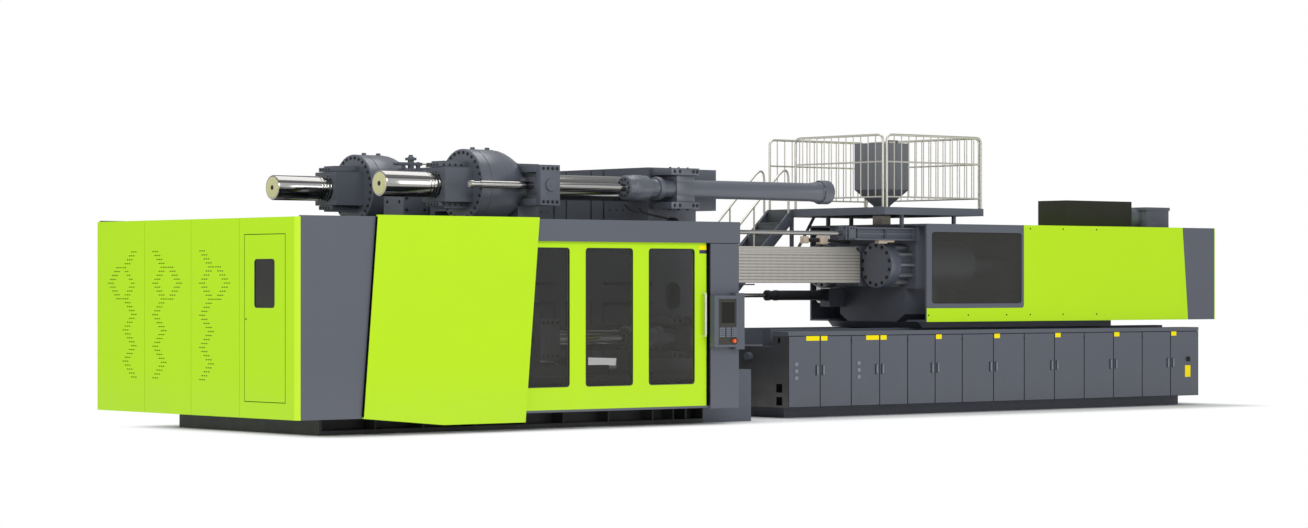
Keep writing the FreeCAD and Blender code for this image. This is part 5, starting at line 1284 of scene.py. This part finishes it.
@dataclass
class SideGuard:
    """Details of the operator side and its mirrored twin.

    Args:
        y: outer face of the doors.
        windows: X where each window starts.
        gap_shadows: X and Z of the top and foot of each slanted dark strip beside a wedge panel's edge,
            partly its gap and partly painted shadow.
    """

    y: float = 2.5
    windows: tuple[float, ...] = (-3.009, -1.868, -0.723)
    gap_shadows: tuple[tuple[float, ...], ...] = ((-5.451, 2.92, -5.678, 0.27), (-2.736, 2.92, -2.98, 0.15))

    def build(self) -> None:
        """Build the guard's details."""
        for side, name in zip(SIDES, ("front", "rear")):
            seals, y = Body(), side * (self.y + 0.0012)
            for x in self.windows:
                lines = [round_outline(x + d, x + 0.857 - d, 0.595 + d, 2.533 - d, r)
                         for d, r in ((0.0, 0.05), (0.012, 0.04))]
                seals.ring(*([(a, y, b) for a, b in line] for line in lines), (0, -side * 0.02, 0))
            seals.make(name + "_window_seals", "rubber", name + "_door_body")
        for name, finish, z0, z1 in (("yellow", "yellow", 2.522, 2.583), ("dark", "navy", 2.466, 2.516)):
            plate = Body().box((0.222, -2.502, z0), (0.3555, -2.4995, z1))
            plate.make("door_plate_" + name, finish, "front_door_body", 0.0006)
        grip = [(0.29, y, z) for y, z in ((-2.498, 1.896), (-2.562, 1.896), (-2.562, 1.284), (-2.498, 1.284))]
        Body().tube(grip, 0.0165, 16, 0.03).make("door_handle_tube", "handle", "front_door_body")
        # Painted shadow: a black strip under the header's lower edge, where it casts a shadow on the door; a
        # second black strip stands upright beside the door's edge.
        seam = Body().box((0.36, -2.5425, 2.611), (0.969, -2.5, 2.6185))
        seam.box((0.357, -2.52, 0.29), (0.404, -2.5, 2.6)).make("header_seam", "hole", "machine")
        # Dark strips along the wedge panels' slanted edges: the gap there, and painted shadow of the panels,
        # which stand proud.
        gap_shadows = Body()
        for side in SIDES:
            y = side * 2.5405
            for ax, az, bx, bz in self.gap_shadows:
                gap_shadows.prism([(ax - 0.014, y, az), (bx - 0.014, y, bz), (bx, y, bz), (ax, y, az)],
                           (0, side * 0.0325, 0))
        gap_shadows.make("wedge_gaps", "hole", "machine")
        Body().box((0.958, -2.54, 2.012), (1.25, -2.48, 2.032)).make("post_bracket", "dark", "machine", 0.002)


@dataclass
class ControlPanel:
    """The face of the control box.

    Args:
        x: left and right edge of the dark face.
        z: its bottom and top.
        y: plane of the recessed face.
        screen: edges of the screen along X and Z.
        pads: start, end and columns of each keypad.
        stop: centre of the stop button.
    """

    x: Pair = (0.467, 0.811)
    z: Pair = (1.156, 1.813)
    y: float = -2.644
    screen: tuple[float, ...] = (0.512, 0.761, 1.465, 1.768)
    pads: tuple[tuple[float, float, int], ...] = ((0.477, 0.583, 4), (0.61, 0.689, 3), (0.714, 0.8, 3))
    stop: Pair = (0.775, 1.207)

    def build(self) -> None:
        """Build the panel's pieces."""
        (x0, x1), (z0, z1), y = self.x, self.z, self.y
        face = Body().box((x0, y - 0.002, z0), (x1, y + 0.001, z1))
        face.make("panel_face", "panel", "control_body", 0.001)
        x0, x1, z0, z1 = self.screen
        outer, inner = (face_y(y - 0.002, x0 - d, x1 + d, z0 - d, z1 + d) for d in (0.022, 0.0))
        Body().ring(outer, inner, (0, -0.008, 0)).make("screen_frame", "panel", "control_body", 0.002)
        Body().box((x0, y - 0.004, z0), (x1, y - 0.001, z1)).make("screen_glass", "screen", "control_body")
        keys = []
        for start, end, columns in self.pads:
            step = (end - start) / columns
            keys += [Spot((start + step * (i + 0.5), y - 0.002, 1.278 + k * 0.0285), (0.0, -1.0, 0.0),
                          (step * 0.78, 0.021, 0.005)) for i in range(columns) for k in range(5)]
        cap = Body().prism([(a, b, 0.0) for a, b in round_outline(-0.5, 0.5, -0.5, 0.5, 0.15, 2)], (0, 0, 1))
        REPEAT.place("panel_keys", cap, keys, "keys", "control_body")
        collar = Spot((self.stop[0], y - 0.002, self.stop[1]), (0.0, -1.0, 0.0))
        REPEAT.place("stop_collar", disc(0.044, 0.008, 24), [collar], "rubber", "control_body")


@dataclass
class InjectionGuard:
    """Green and grey skins over the guard of the injection unit.

    Args:
        y: side plane.
        lean: X of the green edge at the top and at the bottom.
        z: bottom and top of the green part.
    """

    y: float = 1.35
    lean: Pair = (11.932, 12.071)
    z: Pair = (1.436, 2.98)

    def build(self) -> None:
        """Build the skins, window frames, screws and what stands on the roof."""
        low, top = self.z
        screws, skins, frames = [], Body(), Body()
        angles = [math.pi / 2 * i / 6 for i in range(6, -1, -1)]
        line = [(5.912, low), (self.lean[1], low), (self.lean[0], top), (8.1, top)]
        line += [(8.05 + 0.05 * math.sin(t), 1.7 - 0.05 * math.cos(t)) for t in angles] + [(5.912, 1.65)]
        for side in SIDES:
            y = side * (self.y + 0.0015)
            skins.prism([(x, y, z) for x, z in line], (0, -side * 0.003, 0))
            skins.box((12.74, side * 1.352, low), (12.7545, side * 1.32, top))
            frames.ring(face_y(y, 5.912, 8.062, 1.66, 2.965), face_y(y, 6.025, 8.05, 1.723, 2.851),
                        (0, -side * 0.004, 0))
            above, below = (8.247, 9.014, 9.813), (5.956, 6.833, 7.703, 8.247, 9.014, 9.813)
            screws += [Spot((x, y, z), (0, side, 0), (0.028, 0.028, 0.012))
                       for z, row in ((2.925, above), (1.54, below)) for x in row]
        skins.box((8.1, -1.351, top - 0.002), (11.93, 1.351, top + 0.0015))
        skins.make("injection_guard_skins", "green_front", "carriage", slot="green_paint")
        frames.make("injection_window_frames", "grey", "carriage", 0.002, slot="grey_paint")
        REPEAT.bolts("injection_guard_screws", screws, "hole", "carriage")
        self._roof()

    @staticmethod
    def _roof() -> None:
        """The black case and the motor on the guard's roof."""
        case = Body().box((10.19, -0.33, 2.982), (11.8, 0.33, 3.435))
        case.make("roof_case", "black", "carriage", 0.006, replaces=["top_boxes"], slot="black_box")
        motor = Body().box((12.1, -0.4, 2.982), (12.66, 0.15, 3.335))
        motor.box((12.08, -0.41, 3.29), (12.68, 0.16, 3.345)).box((12.11, -0.404, 2.99), (12.36, -0.4, 3.1))
        motor.box((11.86, -0.225, 2.982), (12.04, -0.025, 3.03))
        for z in (3.13, 3.18, 3.23):
            motor.box((12.16, -0.403, z), (12.6, -0.4, z + 0.012))
        motor.turned([(11.8, 0.0), (11.8, 0.17), (11.98, 0.17), (11.985, 0.176), (12.0, 0.176),
                      (12.005, 0.17), (12.1, 0.17), (12.1, 0.0)], (0, -0.125, 3.16), sides=40)
        motor.make("roof_motor", "grey_cast", "carriage", 0.004, slot="grey_paint")


@dataclass
class Cabinets:
    """Plates, meters, hinges, edges and pulls of the cabinets with painted shadows beside the pulls, and the
    face at their end with painted shade on it.

    Args:
        start: X where the first one starts.
        widths: width of each.
        y: face of their doors.
    """

    start: float = 2.876
    widths: tuple[float, ...] = (0.648,) * 2 + (0.6,) * 4 + (0.702,) * 8
    y: float = -1.48

    def build(self) -> None:
        """Build the cabinets' details."""
        self._plates()
        self._hinges()
        self._doors()
        self._end()

    @property
    def spans(self) -> list[Pair]:
        """X where each cabinet starts and ends."""
        edges = [self.start + sum(self.widths[:i]) for i in range(len(self.widths) + 1)]
        return list(zip(edges, edges[1:]))

    def _plates(self) -> None:
        """Blank yellow plates on some doors, and meters on two of them."""
        plate = Body().box((-0.5, -0.5, 0), (0.5, 0.5, 1))
        facing = (0, -1, 0)
        for i, (x0, x1) in enumerate(self.spans):
            if i in (0, 2):
                a, b = x1 - 0.29, x1 - 0.02
            elif i in (1, 3):
                a, b = x0 + 0.015, x0 + 0.145
            elif i % 2 == 1:
                a, b = x0 + 0.014, x0 + 0.14
            else:
                continue
            name = "cabinet_%d" % (i + 1)
            spot = Spot(((a + b) / 2, self.y, 1.205), facing, (b - a, 0.07, 0.0015))
            REPEAT.place("plate_" + name, plate, [spot], "yellow", name)
        for i in (0, 2):
            name, x = "cabinet_%d" % (i + 1), self.spans[i][0] + 0.155
            spots = [Spot((x, self.y, z), facing, (0.06, 0.052, 0.008)) for z in (0.817, 0.712, 0.607)]
            REPEAT.place("meters_" + name, plate, spots, "meter", name)

    def _hinges(self) -> None:
        """Hinge dots on the outer edge of each door, and the plate of the main switch."""
        dot = disc(sides=12)
        for i, (x0, x1) in enumerate(self.spans):
            body = "cabinet_%d" % (i + 1)
            outer = x1 - 0.018 if i % 2 else x0 + 0.012
            for z in (0.262, 1.15):
                z += 0.022 * (i % 2)
                spot = Spot((outer, self.y, z), (0, -1, 0), (0.014, 0.014, 0.004))
                REPEAT.place("hinge_%s_%d" % (body, round(z * 1000)), dot, [spot], "rubber", body)
        plate = Body().box((11.846, self.y - 0.004, 0.475), (11.98, self.y, 0.67))
        plate.make("switch_plate", "yellow", "cabinet_14", 0.001)

    def _doors(self) -> None:
        """The edge, the pull and its recess of each door; the recess is a dark box left of the pull that is
        painted shadow of the pull and its recess.
        """
        y = self.y
        for i, (x0, x1) in enumerate(self.spans):
            number, body = i + 1, "cabinet_%d" % (i + 1)
            outer, inner = (face_y(y - 0.0006, x0 + a, x1 - 0.006 - a, z0, z1)
                            for a, z0, z1 in ((0.0, 0.162, 1.241), (0.007, 0.17, 1.234)))
            Body().ring(outer, inner, (0, 0.006, 0)).make("door_edge_%d" % number, "seam", body)
            grip = x0 + 0.06 if i % 2 else x1 - 0.066
            bar = Body().prism([(grip + a, y - 0.0185, b) for a, b in
                                round_outline(-0.0135, 0.0135, 0.648, 0.792, 0.012, 4)], (0, 0.0185, 0))
            bar.make("door_pull_%d" % number, "meter", body, 0.004)
            # Painted shadow: a dark box on the left of each pull, where the shade of the pull and its recess
            # falls.
            recess = Body().box((grip - 0.036, y - 0.0015, 0.64), (grip - 0.0135, y, 0.8))
            recess.make("pull_recess_%d" % number, "seam", body)

    @staticmethod
    def _end() -> None:
        """The face across the end of the cabinets, with its openings, and a darker grey skin on it that is
        painted shade.
        """
        ends, face = Body(), Body()
        for y0, y1, z0, z1 in ((-1.34, -1.208, 0.388, 0.518), (-1.34, -1.208, 0.191, 0.321),
                               (-1.294, -1.247, 1.137, 1.214)):
            ends.box((2.8685, y0, z0), (2.872, y1, z1))
        ends.make("cabinet_end_holes", "hole", "machine")
        # Painted shade: a darker grey skin over the end face of the grey cabinets.
        face.box((2.8691, -1.477, 0.163), (2.8705, -1.138, 1.24))
        face.box((2.8691, -1.138, 0.163), (2.8705, 1.036, 1.08))
        face.make("cabinet_end_face", "end_face", "machine")


@dataclass
class Platform:
    """Railings, the far strip of the deck, the stairs, the feed pipe and the hopper's joints.

    Args:
        deck: height of the deck.
        top: height of the railing over it.
        x: X of the rails across the deck's ends.
        y: Y of the far rail, and how far the others reach from the middle.
        gap: between two hoops of the railing.
        stair_x: X where the stairs start.
        stair_y: Y of their two stringers.
        foot: their height over the floor.
        steps: how many rises.
        angle: their slope, in degrees.
    """

    deck: float = 3.238
    top: float = 1.138
    x: Pair = (5.306, 7.436)
    y: Pair = (1.66, 1.036)
    gap: float = 0.042
    stair_x: float = 5.276
    stair_y: Pair = (1.09, 1.676)
    foot: float = 0.025
    steps: int = 15
    angle: float = 44.0

    def build(self) -> None:
        """Build the platform's pieces."""
        bars = self._rails()
        strip = Body().box((5.9, 1.066, self.deck - 0.02), (7.466, 1.69, self.deck))
        strip.box((5.9, 1.63, 3.12), (7.466, 1.69, self.deck))
        strip.box((7.406, 1.066, 3.12), (7.466, 1.69, self.deck))
        strip.make("deck_far_strip", "grey", "carriage", 0.003, slot="grey_paint")
        self._stairs()
        REPEAT.place("platform_balusters", disc(1.0, sides=10), bars, "tube", "carriage")
        # The feed pipe's pale colour is painted light against the deck's shade.
        Body().box((6.126, -0.102, 2.642), (6.33, 0.102, 3.118)).make("feed_pipe", "bare", "carriage")
        hopper = Body()
        for side in SIDES:
            for off in (-0.16, 0.0, 0.16):
                x = 6.228 + off
                hopper.box((x - 0.004, side * 0.353, 3.56), (x + 0.004, side * 0.358, 4.25))
                x = 6.228 + side * 0.355
                hopper.box((x, off - 0.004, 3.56), (x + side * 0.003, off + 0.004, 4.25))
        hopper.make("hopper_joints", "grey_pale", "carriage")

    def _rails(self) -> list[Spot]:
        """Hoops with two lower rails along each edge.

        Returns:
            Spots for their balusters.
        """
        rails, bars = Body(), []
        (x0, x1), (far, half), gap = self.x, self.y, self.gap
        z0, z1 = self.deck, self.deck + self.top - 0.004
        low = z0 + 0.161
        for (ax, ay), (bx, by) in (((x0, half), (x0, gap - half)), ((x0 + gap, -half), (x1, -half)),
                                   ((x1, gap - half), (x1, far - gap)), ((x1, far), (x0, far))):
            rails.tube([(ax, ay, z0), (ax, ay, z1), (bx, by, z1), (bx, by, z0)], 0.0195, 14, 0.11)
            for z in (z0 + 0.711, low):
                rails.tube([(ax, ay, z), (bx, by, z)], 0.013, 12)
            length = math.hypot(bx - ax, by - ay)
            count = round(length / 0.165)
            along = ((bx - ax) / length, (by - ay) / length, 0.0)
            bars += [Spot((ax + (bx - ax) * i / count, ay + (by - ay) * i / count, low), (0, 0, 1),
                          (0.009, 0.009, z1 - low - 0.004), along) for i in range(1, count)]
        rails.make("platform_rails", "tube", "carriage", replaces=["handrails"], slot="bright_tube")
        return bars

    def _stairs(self) -> None:
        """Channel stringers, treads with risers and a hooped handrail on each side."""
        slope = math.tan(math.radians(self.angle))
        top, foot, deck = self.stair_x, self.foot, self.deck
        low = top - (deck - foot) / slope
        rise = (deck - foot) / self.steps
        run = rise / slope
        stringers, treads, hoops = Body(), Body(), Body()
        plate = [(top, deck), (top, deck - 0.23), (low + 0.23 / slope, foot), (low - 0.06, foot),
                 (low - 0.06, foot + 0.06)]
        lip = [(top, deck), (top, deck - 0.014), (low, foot), (low, foot + 0.014)]
        for y, inner in zip(self.stair_y, (1.104, 1.64)):
            stringers.prism([(x, y, z) for x, z in plate], (0, 0.014, 0))
            stringers.prism([(x, inner, z) for x, z in lip], (0, 0.036, 0))
        for i in range(1, self.steps + 1):
            x, z = top - i * run, deck - i * rise
            if i < self.steps:
                treads.box((x - 0.03, 1.104, z - 0.025), (x + 0.205, 1.676, z))
            treads.box((x + run - 0.024, 1.106, z), (x + run - 0.016, 1.674, z + rise - 0.02))
        start, high, end = 5.205, 3.985, low + 0.16
        for y in (1.097, 1.683):
            foot_of_slope = (end, y, high - (start - end) * slope)
            hoops.tube([(start, y, 3.17), (start, y, high), foot_of_slope, (end, y, 0.12)], 0.0185, 14, 0.3)
            for i in (1, 2, 3):
                x = start - i * 0.74
                z0, z1 = deck - (top - x) * slope - 0.04, high - 0.015 - (start - x) * slope
                hoops.tube([(x, y, z0), (x, y, z1)], 0.015, 12)
        stringers.make("stair_stringers", "grey", "carriage", 0.002, replaces=["stairs"], slot="grey_paint")
        treads.make("stair_treads", "tread", "carriage", 0.002, slot="grey_paint")
        hoops.make("stair_hoops", "tube", "carriage", slot="bright_tube")


# ------------------------------------------------------------------ studio
@dataclass(frozen=True)
class Lamp:
    """A soft square lamp.

    Args:
        name: object name.
        at: place.
        to: the point that it faces.
        size: length of its side.
        power: its power, in watts.
    """

    name: str
    at: Triple
    to: Triple
    size: float
    power: float


@dataclass(frozen=True)
class Studio:
    """Camera, lamps, floor and background.

    Args:
        place: where the camera stands.
        turn: how far it is turned about the upright, in degrees.
        lens: its focal length.
        shift: how far its view is shifted up, as a share of the picture's width.
        sensor: width of its sensor.
        floor_size: half the side of the floor.
        floor_z: its height, a little under the feet of the machine.
        floor_middle: middle of the part of the floor that isn't plain white.
        floor_half: half its sides.
        floor_fade: distances from it between which the floor turns white.
        lamps: the lamps.
    """

    place: Triple = (-31.278, -39.16, 2.0)
    turn: float = -39.9
    lens: float = 92.75
    shift: float = 22 / 1308
    sensor: float = 36.0
    floor_size: float = 140.0
    floor_z: float = -0.002
    floor_middle: Pair = (3.3, 0.0)
    floor_half: Pair = (9.0, 2.0)
    floor_fade: Pair = (0.0, 0.9)
    lamps: tuple[Lamp, ...] = (
        Lamp("key", (-10, -24, 16), (0, 0, 1.5), 10, 1750),
        Lamp("front", (8, -26, 7), (4, 0, 1.5), 12, 800),
        Lamp("end", (-26, -3, 6), (-6, 0, 1.5), 8, 1250),
        Lamp("top", (3, 2, 18), (3, 0, 2), 14, 1500),
    )

    def build(self) -> None:
        """Build the studio."""
        scene = bpy.context.scene
        scene.view_settings.view_transform = "Standard"
        camera = bpy.data.cameras.new("camera")
        camera.lens, camera.shift_y, camera.clip_end = self.lens, self.shift, 300.0
        camera.sensor_width, camera.sensor_fit = self.sensor, "HORIZONTAL"
        eye = link("camera", camera)
        eye.location = self.place
        eye.rotation_euler = (math.radians(90), 0.0, math.radians(self.turn))
        scene.camera = eye
        scene.world = self._world()
        for lamp in self.lamps:
            light = bpy.data.lights.new(lamp.name, "AREA")
            light.size, light.energy = lamp.size, lamp.power
            made = link(lamp.name, light)
            made.location = lamp.at
            made.rotation_euler = (Vector(lamp.to) - Vector(lamp.at)).to_track_quat("-Z", "Y").to_euler()
            made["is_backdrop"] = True
        self._floor()

    def _floor(self) -> None:
        """A pale floor that takes shadows near the machine and turns plain white away from it."""
        floor, s = bpy.data.meshes.new("floor"), self.floor_size
        z = self.floor_z
        floor.from_pydata([(-s, -s, z), (s, -s, z), (s, s, z), (-s, s, z)], [], [(0, 1, 2, 3)])
        pale = bpy.data.materials.new("floor")
        pale.use_nodes = True
        t = Tree(pale.node_tree)
        matt = t.feed(pale.node_tree.nodes["Principled BSDF"], Base_Color=(0.9, 0.9, 0.9, 1.0), Roughness=0.9)
        away = t.place()
        for operation, value in (("SUBTRACT", self.floor_middle), ("ABSOLUTE", None),
                                 ("SUBTRACT", self.floor_half), ("MAXIMUM", (0.0, 0.0))):
            step = t.feed(t.node("ShaderNodeVectorMath", operation=operation), i0=away)
            if value:
                t.feed(step, i1=(*value, 0.0))
            away = step.outputs[0]
        far = t.feed(t.node("ShaderNodeVectorMath", operation="LENGTH"), i0=away).outputs["Value"]
        fade = t.feed(t.node("ShaderNodeMapRange", interpolation_type="SMOOTHSTEP"), Value=far,
                      From_Min=self.floor_fade[0], From_Max=self.floor_fade[1])
        white = t.feed(t.node("ShaderNodeEmission"), Color=(1.0, 1.0, 1.0, 1.0), Strength=1.0)
        both = t.feed(t.node("ShaderNodeMixShader"), i0=fade.outputs[0], i1=matt.outputs[0],
                      i2=white.outputs[0])
        t.feed(pale.node_tree.nodes["Material Output"], Surface=both.outputs[0])
        floor.materials.append(pale)
        link("floor", floor)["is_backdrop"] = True

    @staticmethod
    def _world() -> bpy.types.World:
        """White behind the machine, and a softer light on it.

        Returns:
            The world.
        """
        world = bpy.data.worlds.new("studio")
        world.use_nodes = True
        t = Tree(world.node_tree)
        world.node_tree.nodes.clear()
        rays = t.node("ShaderNodeLightPath").outputs
        seen = t.math("ADD", rays["Is Camera Ray"], rays["Is Transmission Ray"], clamp=True)
        soft = t.feed(t.node("ShaderNodeBackground"), Color=(0.95, 0.97, 1.0, 1.0), Strength=0.5)
        white = t.feed(t.node("ShaderNodeBackground"), Color=(1.0, 1.0, 1.0, 1.0), Strength=1.0)
        mix = t.feed(t.node("ShaderNodeMixShader"), i0=seen, i1=soft.outputs[0], i2=white.outputs[0])
        t.feed(t.node("ShaderNodeOutputWorld"), Surface=mix.outputs[0])
        return world


# Finishes of the frame's own solids that are shown. Those that aren't named here are grey.
NODE_FINISH = {
    "clamp_bed": "bed", "guide_rails": "ground", "fixed_platen": "grey_cast", "moving_platen": "grey_cast",
    "tie_bar_nuts": "grey_cast", "part_chute": "pale", "ejector": "ground", "wedge_panels": "green_front",
    "end_door_window": "smoked", "front_door": "green_front", "rear_door": "green_front",
    # The clamp guard windows' dark glass is partly painted shade of the inside.
    "front_door_windows": "tinted", "rear_door_windows": "tinted", "stop_button": "red",
    "main_switch": "rubber", "injection_base": "grey_cast", "barrel_cover": "cover", "guard_window": "pane",
    "hopper": "grey_pale", "hopper_lid": "grey_pale", "drive_head": "grey_cast", "screw": "steel",
}


def paint_nodes() -> None:
    """Give every solid of the frame its finish."""
    for name, node in frame["nodes"].items():
        node.data.materials.clear()
        node.data.materials.append(PAINTS.use(NODE_FINISH.get(name, "grey")))


def main() -> None:
    """Build the scene."""
    logging.basicConfig(level=logging.INFO)
    paint_nodes()
    for part in (ClampUnit, InjectionUnit, EndWall, SideGuard, ControlPanel, InjectionGuard, Cabinets,
                 Platform, Studio):
        part().build()
    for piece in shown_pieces():
        LOG.info("piece: %s", piece.name)


if __name__ == "__main__":
    main()
